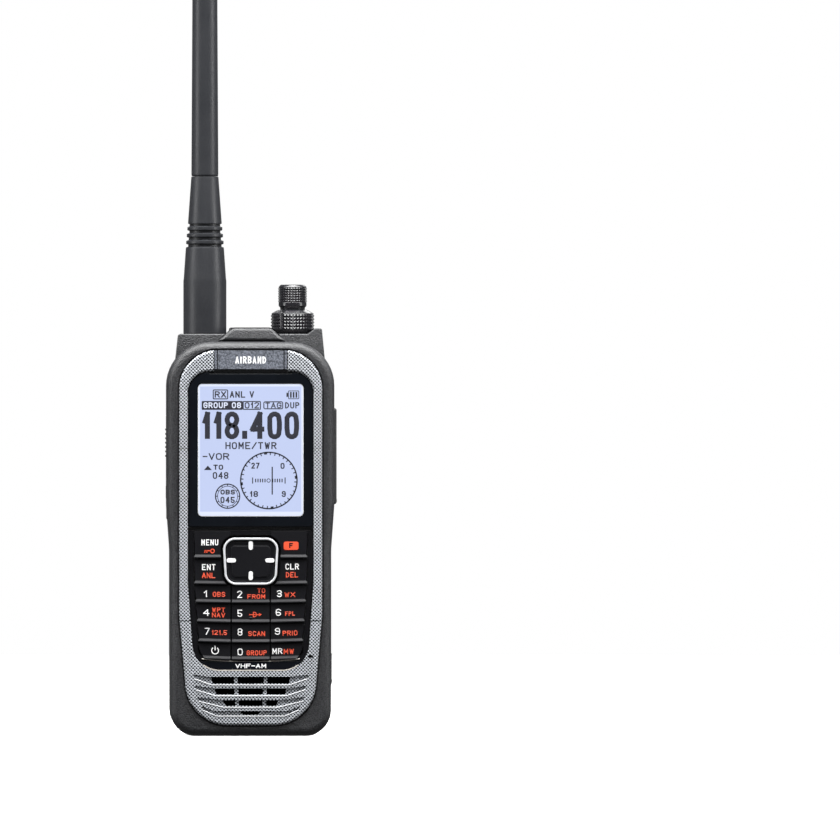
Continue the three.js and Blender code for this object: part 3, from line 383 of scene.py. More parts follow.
def soften(piece, width, segments=2, angle=40):
    """Rounds every sharp edge a little."""
    take(piece)
    modifier = piece.modifiers.new("soften", "BEVEL")
    modifier.width = width * MM
    modifier.segments = segments
    modifier.limit_method = "ANGLE"
    modifier.angle_limit = math.radians(angle)
    modifier.harden_normals = False
    bpy.ops.object.modifier_apply(modifier=modifier.name)


def combine(piece, others, operation):
    for other in others:
        take(piece)
        modifier = piece.modifiers.new("combine", "BOOLEAN")
        modifier.operation = operation
        modifier.solver = "EXACT"
        modifier.object = other
        bpy.ops.object.modifier_apply(modifier=modifier.name)
        bpy.data.objects.remove(other)
    return piece


def cut(piece, *cutters):
    return combine(piece, cutters, "DIFFERENCE")


def add(piece, *others):
    return combine(piece, others, "UNION")


def keep(piece, *others):
    return combine(piece, others, "INTERSECT")


def join(name, pieces):
    """Joins pieces into one object without merging their surfaces."""
    deselect()
    for piece in pieces:
        piece.select_set(True)
    bpy.context.view_layer.objects.active = pieces[0]
    if len(pieces) > 1:
        bpy.ops.object.join()
    pieces[0].name = name
    return pieces[0]


def coat(piece, finish):
    """Gives a piece one material."""
    piece.data.materials.clear()
    piece.data.materials.append(finish)
    return piece


# Each letter is one or more strokes, each a run of points, x then height, on a grid 4 wide and 6 high.
STROKES = {
    "0": "05 16 36 45 41 30 10 01 05",
    "1": "14 26 20",
    "2": "05 16 36 45 44 00 40",
    "3": "05 16 36 45 44 33 13,33 42 41 30 10 01",
    "4": "30 36 02 42",
    "5": "46 06 03 33 42 41 30 10 01",
    "6": "45 36 16 05 01 10 30 41 42 33 03",
    "7": "06 46 10",
    "8": "33 44 45 36 16 05 04 13 33 42 41 30 10 01 02 13",
    "9": "01 10 30 41 45 36 16 05 04 13 43",
    "A": "00 26 40,12 32",
    "B": "03 33 44 45 36 06 00 30 41 42 33",
    "C": "45 36 16 05 01 10 30 41",
    "D": "00 06 26 44 42 20 00",
    "E": "46 06 00 40,03 33",
    "F": "46 06 00,03 33",
    "G": "45 36 16 05 01 10 30 41 43 23",
    "H": "00 06,40 46,03 43",
    "I": "20 26",
    "L": "06 00 40",
    "M": "00 06 22 46 40",
    "N": "00 06 40 46",
    "O": "05 16 36 45 41 30 10 01 05",
    "P": "00 06 36 45 44 33 03",
    "R": "00 06 36 45 44 33 03,23 40",
    "S": "45 36 16 05 04 13 33 42 41 30 10 01",
    "T": "06 46,26 20",
    "U": "06 01 10 30 41 46",
    "V": "06 20 46",
    "W": "06 10 25 30 46",
    "X": "00 46,06 40",
    "/": "00 46",
    "-": "03 33",
    ".": "10 11",
}
# Letters of an unusual width: the width, and where the left edge is.
NARROW = {
    "I": (0.5, 1.75),
    "1": (1.6, 0.7),
    ".": (0.3, 0.85),
    " ": (1.2, 0),
    "-": (3, 0),
    "M": (4.6, -0.3),
    "W": (4.6, -0.3),
}
STROKE_STEP = 0.015  # each stroke lies this much before the last, so that crossings don't share a plane
LETTER_SPACE = 0.2  # between letters, as a share of their height; the stroke adds to it


def corner_turn(before, here, after):
    return math.degrees((here - before).angle(after - here))


def split_at_corners(points):
    """Parts a stroke at its sharp corners, and cuts its gentle ones once more."""
    runs = [[points[0]]]
    for before, here, after in zip(points, points[1:], points[2:]):
        turn = corner_turn(before, here, after)
        if turn > 68:
            runs[-1].append(here)
            runs.append([here])
        elif turn > 20:
            runs[-1] += [here.lerp(before, 0.3), here.lerp(after, 0.3)]
        else:
            runs[-1].append(here)
    runs[-1].append(points[-1])
    return runs


def lengthened(run, reach):
    """Carries both ends of a run on by reach."""
    first = run[0] + (run[0] - run[1]).normalized() * reach
    last = run[-1] + (run[-1] - run[-2]).normalized() * reach
    return [first, *run[1:-1], last]


def lettering(words, x0, z0, x1, z1, y, finish, stroke=0.3):
    """Words as thin raised strokes that fill the box from (x0, z0) to (x1, z1), facing the front."""
    widths = [NARROW.get(letter, (4, 0))[0] for letter in words]
    space = stroke + LETTER_SPACE * (z1 - z0 - stroke) * (0.55 if stroke > 1 else 1)
    wide = (x1 - x0 - stroke - space * (len(words) - 1)) / sum(widths)
    tall = (z1 - z0 - stroke) / 6
    runs = []
    reach = 0.0
    for letter, width in zip(words, widths):
        left = NARROW.get(letter, (4, 0))[1]
        for stroke_points in filter(None, STROKES.get(letter, "").split(",")):
            digits = stroke_points.split()
            runs.append([Vector((reach + (int(p[0]) - left) * wide, int(p[1]) * tall, 0)) for p in digits])
        reach += width * wide + space
    data = bpy.data.curves.new("words", "CURVE")
    data.dimensions = "3D"
    data.bevel_depth = stroke / 2 * MM
    data.bevel_resolution = 1
    data.use_fill_caps = True
    for run in runs:
        for points in split_at_corners(run):
            closed = (points[0] - points[-1]).length < 0.01
            points = points[:-1] if closed else lengthened(points, 0.42 * stroke)
            spline = data.splines.new("POLY")
            spline.points.add(len(points) - 1)
            spline.use_cyclic_u = closed
            depth = STROKE_STEP * (len(data.splines) % 3) * stroke / (2 * INK)
            for target, point in zip(spline.points, points):
                target.co = (point.x * MM, point.y * MM, depth * MM, 1)
    text = bpy.data.objects.new("words", data)
    bpy.context.scene.collection.objects.link(text)
    take(text)
    bpy.ops.object.convert(target="MESH")
    piece = bpy.context.object
    piece.scale = (1, 1, 2 * INK / stroke)
    piece.rotation_euler = (math.pi / 2, 0, 0)
    piece.location = Vector((x0 + stroke / 2, y, z0 + stroke / 2)) * MM
    settle(piece)
    return coat(piece, finish)


def finish_piece(piece, body, replaced=(), angle=35):
    """Smooths a piece's shading, and says what it moves with and what it stands for."""
    settle(piece)
    take(piece)
    bpy.ops.object.shade_smooth_by_angle(angle=math.radians(angle))
    even = piece.modifiers.new("even", "WEIGHTED_NORMAL")
    even.keep_sharp = True
    bpy.ops.object.modifier_apply(modifier=even.name)
    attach(piece, body)
    if replaced:
        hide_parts(*replaced)
    return piece


# ------------------------------------------------------------------ finishes


def new_finish(name, colour, roughness, metallic=0.0, **extra):
    """A material with a plain shader, ready for its detail."""
    finish = bpy.data.materials.new(name)
    finish.use_nodes = True
    shader = finish.node_tree.nodes["Principled BSDF"]
    shader.inputs["Base Color"].default_value = (*colour, 1)
    shader.inputs["Roughness"].default_value = roughness
    shader.inputs["Metallic"].default_value = metallic
    for socket, value in extra.items():
        shader.inputs[socket.replace("_", " ")].default_value = value
    return finish


def node(finish, kind, **values):
    made = finish.node_tree.nodes.new(kind)
    for key, value in values.items():
        setattr(made, key, value)
    return made


def link(finish, source, target):
    finish.node_tree.links.new(source, target)


def object_noise(finish, size, detail=3.0, stretch=(1, 1, 1)):
    """Noise fixed to the piece, with features of about that size in millimetres."""
    where = node(finish, "ShaderNodeTexCoord")
    mapping = node(finish, "ShaderNodeMapping")
    mapping.inputs["Scale"].default_value = stretch
    noise = node(finish, "ShaderNodeTexNoise")
    noise.inputs["Scale"].default_value = 1 / (size * MM)
    noise.inputs["Detail"].default_value = detail
    link(finish, where.outputs["Object"], mapping.inputs["Vector"])
    link(finish, mapping.outputs["Vector"], noise.inputs["Vector"])
    return noise.outputs["Fac"]


def spread(finish, source, low, high, target):
    """Maps a value from 0.3-0.7 to low-high and links it to a socket."""
    ramp = node(finish, "ShaderNodeMapRange")
    ramp.inputs["From Min"].default_value = 0.3
    ramp.inputs["From Max"].default_value = 0.7
    ramp.inputs["To Min"].default_value = low
    ramp.inputs["To Max"].default_value = high
    link(finish, source, ramp.inputs["Value"])
    link(finish, ramp.outputs["Result"], target)


def sharpened(finish, source):
    """Spreads the middle of a noise over the whole range, so that its grains stand out."""
    ramp = node(finish, "ShaderNodeMapRange")
    ramp.inputs["From Min"].default_value = 0.36
    ramp.inputs["From Max"].default_value = 0.64
    link(finish, source, ramp.inputs["Value"])
    return ramp.outputs["Result"]


def tint(finish, source, dark, light, target):
    """Mixes two colours by a value and links the result to a socket."""
    mix = node(finish, "ShaderNodeMix", data_type="RGBA")
    mix.inputs["A"].default_value = (*dark, 1)
    mix.inputs["B"].default_value = (*light, 1)
    link(finish, source, mix.inputs["Factor"])
    link(finish, mix.outputs["Result"], target)


def bump(finish, source, height, strength=1.0):
    """Adds fine relief, height in millimetres, to what the shader has."""
    shader = finish.node_tree.nodes["Principled BSDF"]
    relief = node(finish, "ShaderNodeBump")
    relief.inputs["Distance"].default_value = height * MM
    relief.inputs["Strength"].default_value = strength
    link(finish, source, relief.inputs["Height"])
    below = shader.inputs["Normal"].links
    if below:
        link(finish, below[0].from_socket, relief.inputs["Normal"])
    link(finish, relief.outputs["Normal"], shader.inputs["Normal"])


def shades(colour, amount):
    dark = tuple(c * (1 - amount) for c in colour)
    light = tuple(min(1, c * (1 + amount)) for c in colour)
    return dark, light


def grained(name, colour, roughness, grain, height, amount=0.25, metallic=0.0, **extra):
    """Moulded or painted surface: fine grain and uneven gloss."""
    finish = new_finish(name, colour, roughness, metallic, **extra)
    shader = finish.node_tree.nodes["Principled BSDF"]
    fine = sharpened(finish, object_noise(finish, grain))
    slow = object_noise(finish, 14, detail=4)
    tint(finish, fine, *shades(colour, amount), shader.inputs["Base Color"])
    spread(finish, slow, roughness - 0.05, roughness + 0.06, shader.inputs["Roughness"])
    bump(finish, fine, height)
    return finish


def woven(name, colour, pitch):
    """Silver paint over a fine moulded lattice of small dark dents."""
    finish = new_finish(name, colour, 0.42, 0.35)
    shader = finish.node_tree.nodes["Principled BSDF"]
    where = node(finish, "ShaderNodeTexCoord")
    mapping = node(finish, "ShaderNodeMapping")
    mapping.inputs["Scale"].default_value = (2 * math.pi / (pitch * MM),) * 3
    parts = node(finish, "ShaderNodeSeparateXYZ")
    link(finish, where.outputs["Object"], mapping.inputs["Vector"])
    link(finish, mapping.outputs["Vector"], parts.inputs["Vector"])
    waves = []
    for axis in "XZ":
        wave = node(finish, "ShaderNodeMath", operation="SINE")
        link(finish, parts.outputs[axis], wave.inputs[0])
        waves.append(wave.outputs["Value"])
    lattice = node(finish, "ShaderNodeMath", operation="MULTIPLY")
    link(finish, waves[0], lattice.inputs[0])
    link(finish, waves[1], lattice.inputs[1])
    dents = node(finish, "ShaderNodeMapRange", interpolation_type="SMOOTHSTEP")
    dents.inputs["From Min"].default_value = -0.3
    dents.inputs["From Max"].default_value = 0.25
    link(finish, lattice.outputs["Value"], dents.inputs["Value"])
    dark = tuple(c * 0.03 for c in colour)
    light = tuple(c * 1.25 for c in colour)
    tint(finish, dents.outputs["Result"], dark, light, shader.inputs["Base Color"])
    bump(finish, dents.outputs["Result"], 0.1)
    bump(finish, object_noise(finish, 0.25), 0.02)
    return finish


class Finishes:
    """The radio's finishes, made once from the scene's colours and sizes."""

    made = {}

    @classmethod
    def get(cls, name):
        if name not in cls.made:
            cls.made[name] = getattr(cls, name)()
        return cls.made[name]

    @staticmethod
    def case():
        return grained("case_grain", colours().case, 0.42, sizes().grain, 0.07, 0.7, Specular_IOR_Level=0.5)

    @staticmethod
    def rubber():
        return grained("soft_rubber", colours().rubber, 0.62, 0.3, 0.03, 0.2)

    @staticmethod
    def aerial():
        return grained("aerial_rubber", colours().aerial, 0.4, 0.5, 0.01, 0.1)

    @staticmethod
    def silver():
        return woven("silver_weave", colours().silver, sizes().weave)

    @staticmethod
    def bright():
        return grained("bright_metal", (0.66, 0.67, 0.69), 0.4, 3.0, 0.001, 0.05, 0.35)

    @staticmethod
    def ledge():
        # Near white: a painted highlight for the speaker ledges, which the screen's rim also uses.
        return grained("silver_ledge_painted_highlight", (0.84, 0.85, 0.87), 0.35, 0.6, 0.005, 0.06)

    @staticmethod
    def worn():
        return grained("worn_silver", (0.46, 0.43, 0.39), 0.4, 0.6, 0.005, 0.15)

    @staticmethod
    def plate():
        return grained("plate_painted", colours().plate, 0.4, 0.55, 0.06, 0.5, 0.2)

    @staticmethod
    def pane():
        return grained("smoked_pane", colours().pane, 0.12, 6.0, 0.001, 0.1, Specular_IOR_Level=0.12)

    @staticmethod
    def key():
        return grained("key_plastic", colours().key, 0.45, 0.4, 0.006, 0.2, Specular_IOR_Level=0.17)

    @staticmethod
    def lip():
        # A little lighter than the key colour: a painted highlight on the ridges.
        return grained("key_lip_painted_highlight", (0.006, 0.006, 0.0075), 0.5, 0.4, 0.006, 0.15, Specular_IOR_Level=0.17)

    @staticmethod
    def knob():
        near_black = (0.009, 0.009, 0.011)
        return grained("knob_plastic", near_black, 0.23, 0.5, 0.004, 0.15, Specular_IOR_Level=0.7)

    @staticmethod
    def cloth():
        deep_black = (0.0012, 0.0012, 0.0014)
        return grained("speaker_cloth", deep_black, 0.9, 0.3, 0.05, 0.5, Specular_IOR_Level=0.05)

    @staticmethod
    def white():
        return grained("white_print", colours().white, 0.5, 1.5, 0.002, 0.06)

    @staticmethod
    def orange():
        return grained("orange_print", colours().orange, 0.5, 1.5, 0.002, 0.08)

    @staticmethod
    def ink():
        return grained("screen_ink", colours().ink, 0.5, 1.5, 0.002, 0.1)

    @staticmethod
    def field():
        return lit("screen_field", colours().field, 0.87)

    @staticmethod
    def margin():
        return lit("screen_margin", (0.72, 0.78, 0.95), 0.97)

    @staticmethod
    def steel():
        return grained("inner_steel", (0.52, 0.52, 0.53), 0.34, 0.4, 0.01, 0.1, 0.9)

    @staticmethod
    def alloy():
        return grained("inner_alloy", (0.55, 0.56, 0.58), 0.42, 1.2, 0.02, 0.1, 0.85)

    @staticmethod
    def brass():
        return grained("plated_brass", (0.72, 0.52, 0.20), 0.26, 0.8, 0.006, 0.1, 0.95)

    @staticmethod
    def board():
        return grained("green_board", (0.012, 0.085, 0.040), 0.38, 1.4, 0.02, 0.4)

    @staticmethod
    def inner():
        return grained("inner_plastic", (0.02, 0.02, 0.022), 0.5, 0.4, 0.02, 0.2)

    @staticmethod
    def cells():
        return grained("cell_wrap", (0.05, 0.11, 0.26), 0.35, 5.0, 0.05, 0.2)


def lit(name, colour, strength):
    """A glowing panel, a little uneven as a lit screen is."""
    finish = new_finish(name, tuple(c * 0.08 for c in colour), 0.4)
    shader = finish.node_tree.nodes["Principled BSDF"]
    shader.inputs["Emission Strength"].default_value = strength
    tint(finish, object_noise(finish, 25, 1), *shades(colour, 0.03), shader.inputs["Emission Color"])
    return finish


# ------------------------------------------------------------------ case


def side_window(node_name, side, clearance=0.35):
    """A cutter for the opening that a side key or cover sits in."""
    low, high = place(node_name)
    outer = UPPER_HALF + 3
    inner = UPPER_HALF - 6
    corners = [
        (high.y + clearance, low.z - clearance, 1.3),
        (high.y + clearance, high.z + clearance, 1.3),
        (low.y - clearance, high.z + clearance, 1.3),
        (low.y - clearance, low.z - clearance, 1.3),
    ]
    cutter = sheet_of("cutter", rounded(corners), 0)
    for vertex in cutter.data.vertices:
        vertex.co = Vector((side * outer * MM, vertex.co.x, vertex.co.z))
    edit_all(cutter)
    bpy.ops.mesh.extrude_region_move(TRANSFORM_OT_translate={"value": (side * (inner - outer) * MM, 0, 0)})
    to_object()
    face_out(cutter)
    return cutter


SIDE_PIECES = [
    ("ptt_key", -1),
    ("squelch_key", -1),
    ("light_key", -1),
    ("jack_cover", 1),
    ("port_cover", 1),
]


def shoulder_room(grow):
    """The room behind the collar that the rear case's shoulder block fills."""
    low = REAR_LOW
    half = UPPER_HALF - 3.35 + grow
    return block("cutter", (-half, low.y - grow, 118 - grow), (half, THROUGH, COLLAR_TOP + 9))


class RADIO_OT_front_case(bpy.types.Operator):
    """Front half of the case: collar, side walls and the pocket for the frame"""

    bl_idname = "radio.front_case"
    bl_label = "Front case"

    def execute(self, context):
        edge = sizes().edge
        shell = prism("front_shell", body_outline(), FACE, RIM)
        round_edge(shell, lambda v: v.y < FACE + 0.01, edge, 8)
        pocket = prism("cutter", inset(trim_outline(), -0.6), FACE - 1, FACE + 1.2)
        hollow = prism("cutter", inset(body_outline(), 2.2), FACE + 2.4, RIM + 1)
        grille = block("cutter", (-16, FACE - 1, 6.6), (16, FACE + 4, 22.4))
        keys = block("cutter", (-19, FACE - 1, 28), (19, FACE + 4, 73))
        screen = block("cutter", (-19.2, FACE - 1, 80), (19.2, FACE + 4, 128))
        cut(shell, pocket, hollow, grille, keys, screen, shoulder_room(0.3))
        cut(shell, *[side_window(name, side) for name, side in SIDE_PIECES])
        soften(shell, 0.25, 2, 50)
        coat(shell, Finishes.get("case"))
        finish_piece(shell, "radio", ["front_case"])
        return {"FINISHED"}


def shoulder_outline():
    half = UPPER_HALF - 4.4
    foot_half = half + 1.05
    horn = REAR_HIGH.z
    return [
        (foot_half, 118, 0),
        (foot_half, COLLAR_TOP - 6.5, 0),
        (half, horn, 0.7),
        (half - 2.5, horn, 0.6),
        (half - 5.1, PLATFORM, 0.8),
        (-half, PLATFORM, 1.0),
        (-foot_half, COLLAR_TOP - 6.5, 0),
        (-foot_half, 118, 0),
    ]


def lean(piece, foot, top, amount):
    """Moves the front of a piece back, more towards its top."""
    middle = sum(vertex.co.y for vertex in piece.data.vertices) / len(piece.data.vertices)
    for vertex in piece.data.vertices:
        if vertex.co.y < middle:
            vertex.co.y += amount * MM * max(0, (vertex.co.z / MM - foot) / (top - foot))


class RADIO_OT_rear_case(bpy.types.Operator):
    """Rear half of the case with the shoulder block that carries the aerial and the knobs"""

    bl_idname = "radio.rear_case"
    bl_label = "Rear case"

    def execute(self, context):
        rear = REAR_HIGH.y
        split = RIM + 0.04
        plate_back = RIM + 2.5
        ledge = LID_HIGH.z + 0.3
        tower = prism("rear_shell", shoulder_outline(), REAR_LOW.y, rear)
        shoulder = COLLAR_TOP - 6.3
        edit_all(tower)
        bpy.ops.mesh.bisect(plane_co=(0, 0, shoulder * MM), plane_no=(0, 0, 1))
        to_object()
        round_edge(tower, lambda v: v.y > rear - 0.01 and v.z > 119, 2.0, 6)
        round_edge(tower, lambda v: v.y < REAR_LOW.y + 0.01 and v.z > shoulder + 1, 0.9, 4)
        lean(tower, shoulder, REAR_HIGH.z, 1.6)
        upper = prism("upper", body_outline(), split, rear)
        round_edge(upper, lambda v: v.y > rear - 0.01, 2.2, 6)
        cut(upper, block("cutter", (-THROUGH, -THROUGH, -9), (THROUGH, THROUGH, ledge)))
        plate = prism("plate", body_outline(), split, plate_back)
        cut(plate, block("cutter", (-THROUGH, -THROUGH, ledge + 1), (THROUGH, THROUGH, 999)))
        add(tower, upper, plate)
        low, high = place("terminal_block")
        inner = UPPER_HALF - 6.2
        cut(
            tower,
            block("cutter", (-inner, REAR_LOW.y + 2, ledge + 2), (inner, rear - 2, PLATFORM - 4.6)),
            block("cutter", (-inner, REAR_LOW.y + 2, 113), (inner, RIM, ledge + 3)),
            block("cutter", (low.x - 0.3, -9, low.z - 0.3), (high.x + 0.3, THROUGH, high.z + 0.3)),
            bar("cutter", (BOOT_X, AXIS_Y, PLATFORM), 4.8, 14, "Z"),
            bar("cutter", (KNOB_X, AXIS_Y, PLATFORM), 4.2, 14, "Z"),
            bar("cutter", (KNOB_X, AXIS_Y, PLATFORM + 5), 8.3, 10, "Z", 64),
            hump("cutter", 0.3),
            side_window("ptt_key", -1, 0.5),
        )
        for name in ("case_screw_left", "case_screw_right"):
            low, high = place(name)
            middle = (low + high) / 2
            cut(tower, bar("cutter", (middle.x, plate_back, middle.z), 2.5, 2.6, "Y"))
            cut(tower, bar("cutter", (middle.x, split, middle.z), 1.4, 9, "Y"))
        soften(tower, 0.22, 2, 50)
        coat(tower, Finishes.get("case"))
        finish_piece(tower, "radio", ["rear_case"])
        return {"FINISHED"}


def hump(name, grow):
    """The cover between the aerial and the knobs: a sloping front and a plain deck behind it."""
    low, high = place("top_cover")
    foot = low.z
    middle = (low.x + high.x) / 2
    foot_half = (high.x - low.x) / 2
    top_half = foot_half - 5.0
    slope = [
        (middle + foot_half + grow, foot - grow, 0),
        (middle + top_half + grow, high.z + grow, 2.4),
        (middle - top_half - grow, high.z + grow, 2.4),
        (middle - foot_half - grow, foot - grow, 0),
    ]
    front = prism(name, slope, low.y - 6 * grow, -2.4 + grow)
    deck_middle = middle - 1
    deck_half = top_half - 0.1 + grow
    deck = prism(
        "deck",
        rectangle(deck_middle - deck_half, foot - grow, deck_middle + deck_half, high.z + grow, 0.6),
        -3.4,
        high.y + grow,
    )
    if grow == 0:
        round_edge(front, lambda v: v.y < low.y + 0.01 and v.z > foot - 0.5, 1.3, 5)
        lean(front, foot, high.z, 1.0)
        round_edge(deck, lambda v: v.y > high.y - 0.01 and v.z > foot + 0.5, 0.8, 4)
    return add(front, deck)


class RADIO_OT_top_cover(bpy.types.Operator):
    """Raised cover between the aerial and the knobs"""

    bl_idname = "radio.top_cover"
    bl_label = "Top cover"

    def execute(self, context):
        cover = hump("top_hump", 0)
        soften(cover, 0.3, 3, 30)
        coat(cover, Finishes.get("case"))
        finish_piece(cover, "radio", ["top_cover"])
        return {"FINISHED"}


# ------------------------------------------------------------------ front frame

# Rows of speaker slots from the top: the middle's height, how tall the slots are, the half width of the
# middle slot, the post beside it, how far the outer slots reach, the slant of their ends, and how far
# the channel round the row reaches.
GRILLE = [
    {"z": 20.4, "tall": 2.4, "mid": 4.75, "post": 1.3, "half": 14.4, "slant": 0.5, "wing": 21.3},
    {"z": 16.3, "tall": 2.2, "mid": 4.45, "post": 1.4, "half": 13.05, "slant": 0.5, "wing": 20.6},
    {"z": 12.1, "tall": 2.05, "mid": 4.35, "post": 1.25, "half": 10.2, "slant": 1.1, "wing": 19.8},
    {"z": 8.5, "tall": 1.3, "mid": 4.1, "post": 0, "half": 0, "slant": 1.6, "wing": 18.3},
]
LEDGE_RISE = 2.2  # how far the ends of a ledge sweep up
LEDGE_THICK = 0.27


def slots(row, y0, y1):
    low = row["z"] - row["tall"] / 2
    high = row["z"] + row["tall"] / 2
    mid, half, slant = row["mid"], row["half"], row["slant"]
    foot = mid if half else mid - slant
    middle = [(foot, low, 0.2), (mid, high, 0.2), (-mid, high, 0.2), (-foot, low, 0.2)]
    made = [prism("cutter", middle, y0, y1)]
    if half:
        inner = mid + row["post"]
        right = [(half - slant, low, 0.2), (half, high, 0.2), (inner, high, 0.2), (inner, low, 0.2)]
        left = [(-x, z, r) for x, z, r in reversed(right)]
        made += [prism("cutter", side, y0, y1) for side in (right, left)]
    return made


def ledge_reach(row):
    """How far the level middle of a row's ledge reaches."""
    return (row["half"] or 12.5) - 0.2


def channel(row):
    """A shallow recess that a row of slots lies in, with wings that sweep up at both ends."""
    low = row["z"] - row["tall"] / 2 - 0.35
    high = row["z"] + row["tall"] / 2 + 0.1
    reach = ledge_reach(row)
    wing = row["wing"]
    outline = mirrored(
        [
            (reach, low, 3),
            (wing - 1, low + LEDGE_RISE, 0.8),
            (wing, low + LEDGE_RISE + 1.5, 0.3),
            (reach + 1, high, 3),
        ]
    )
    return prism("cutter", outline, TRIM_FACE - 1, TRIM_FACE + 0.75)


def ledge(row):
    """The lip along the lower edge of a channel, coloured near white as a painted highlight of the light
    that catches it.
    """
    reach = ledge_reach(row)
    wing = row["wing"] - 0.8
    top = row["z"] - row["tall"] / 2 - 0.35
    outline = []
    for z, side in ((top, -1), (top - LEDGE_THICK, 1)):
        outline += [
            (side * wing, z + LEDGE_RISE, 0),
            (side * reach, z, 3),
            (-side * reach, z, 3),
            (-side * wing, z + LEDGE_RISE, 0),
        ]
    piece = prism("ledge", list(reversed(outline)), TRIM_FACE - 0.15, TRIM_FACE + 0.9)
    soften(piece, 0.06, 2, 40)
    # The near-white colour is a painted highlight.
    return coat(piece, Finishes.get("ledge"))


SEAMS = (104.7, 42.0)  # heights of the joints moulded across the frame's sides


class RADIO_OT_front_frame(bpy.types.Operator):
    """Silver frame with its weave, seams, speaker slots and ledges"""

    bl_idname = "radio.front_frame"
    bl_label = "Front frame"

    def execute(self, context):
        back = TRIM_HIGH.y
        half = TRIM_HIGH.x
        plate_half = place("head_plate")[1].x
        rim = prism("silver_frame", trim_outline(), TRIM_FACE, back)
        round_edge(rim, lambda v: v.y < TRIM_FACE + 0.01, 0.9, 5)
        opening = prism("cutter", pane_outline(), TRIM_FACE - 1, back + 1)
        cut(rim, opening)
        crown = PANE_TOP - 8
        corner_x = PANE_HALF - 8

        def above_the_pane(v):
            if v.y > TRIM_FACE + 0.01 or v.z <= crown:
                return False
            if abs(v.x) < corner_x and v.z < PANE_TOP + 0.1:
                return True
            return math.hypot(abs(v.x) - corner_x, v.z - crown) < 8.1

        round_edge(rim, above_the_pane, 1.1, 3)
        head = block(
            "cutter", (-plate_half - 0.3, TRIM_FACE - 1, PANE_TOP - 1), (plate_half + 0.3, back + 1, 999)
        )
        cut(rim, head)
        for row in GRILLE:
            cut(rim, channel(row))
        for row in GRILLE:
            cut(rim, *slots(row, TRIM_FACE - 1, back + 1))
        for height in SEAMS:
            for side in (-1, 1):
                x0, x1 = sorted((side * (half - 5), side * (half + 1)))
                low = (x0, TRIM_FACE - 1, height - 0.22)
                high = (x1, TRIM_FACE + 0.8, height + 0.22)
                cut(rim, block("cutter", low, high))
        left = keys_half(29) - 0.2
        microphone = rectangle(left, 28.5, left + 2, 29.5, 0.45)
        cut(rim, prism("cutter", microphone, TRIM_FACE - 1, back + 1))
        soften(rim, 0.16, 2, 45)
        coat(rim, Finishes.get("silver"))
        ledges = [ledge(row) for row in GRILLE]
        whole = join("silver_frame", [rim, *ledges])
        finish_piece(whole, "radio", ["front_frame"])
        return {"FINISHED"}


class RADIO_OT_head_plate(bpy.types.Operator):
    """Grey plate at the head of the frame, with a bar at each end and plain lettering"""

    bl_idname = "radio.head_plate"
    bl_label = "Head plate"

    def execute(self, context):
        low, high = place("head_plate")
        bar_width = 0.9
        groove = 0.35
        inner = high.x - bar_width - groove
        plate = prism("plate", rectangle(-inner, low.z + 0.9, inner, high.z, 0.3), low.y + 0.1, high.y)
        keep(plate, prism("cutter", inset(trim_outline(), 0.25), low.y - 1, high.y + 1))
        soften(plate, 0.25, 3)
        coat(plate, Finishes.get("plate"))
        pieces = [plate]
        for side in (-1, 1):
            x0, x1 = sorted((side * (inner + groove), side * high.x))
            end = prism("bar", rectangle(x0, low.z + 0.9, x1, high.z, 0.2), low.y, high.y)
            keep(end, prism("cutter", inset(trim_outline(), 0.15), low.y - 1, high.y + 1))
            soften(end, 0.2, 2)
            pieces.append(coat(end, Finishes.get("plate")))
        under = block("under", (-high.x, low.y + 0.2, low.z - 0.6), (high.x, high.y, low.z + 2))
        pick(under, lambda v: v.y < low.y + 0.3 and v.z < low.z)
        bpy.ops.transform.translate(value=(0, 1.1 * MM, 0))
        to_object()
        soften(under, 0.1)
        pieces.append(coat(under, Finishes.get("case")))
        white = Finishes.get("white")
        words = lettering("AIRBAND", -5.6, low.z + 2.9, 5.6, low.z + 5.5, low.y + 0.1, white, 0.44)
        pieces.append(words)
        finish_piece(join("head_plate_face", pieces), "radio", ["head_plate"])
        return {"FINISHED"}


# ------------------------------------------------------------------ window and screen


def view_box():
    """The visible part of the screen: low x, low z, high x, high z."""
    low, high = place("lcd_module")
    rim = 1.4
    return low.x + rim, low.z + rim, high.x - rim, high.z - rim


class RADIO_OT_window(bpy.types.Operator):
    """Smoked window with the opening that the screen shows through"""

    bl_idname = "radio.window"
    bl_label = "Window"

    def execute(self, context):
        pane = prism("window_pane", inset(pane_outline(), 0.3), PANE_LOW.y, PANE_HIGH.y)
        cut(pane, block("cutter", (-THROUGH, -THROUGH, -9), (THROUGH, THROUGH, PANE_LOW.z)))
        cut(pane, block("cutter", (-15, -THROUGH, PANE_HIGH.z - 0.5), (15, THROUGH, 999)))
        cut(pane, prism("cutter", rectangle(*view_box(), 1.6), PANE_LOW.y - 1, PANE_HIGH.y + 1))
        soften(pane, 0.15, 2, 40)
        coat(pane, Finishes.get("pane"))
        finish_piece(pane, "radio", ["display_window"])
        return {"FINISHED"}


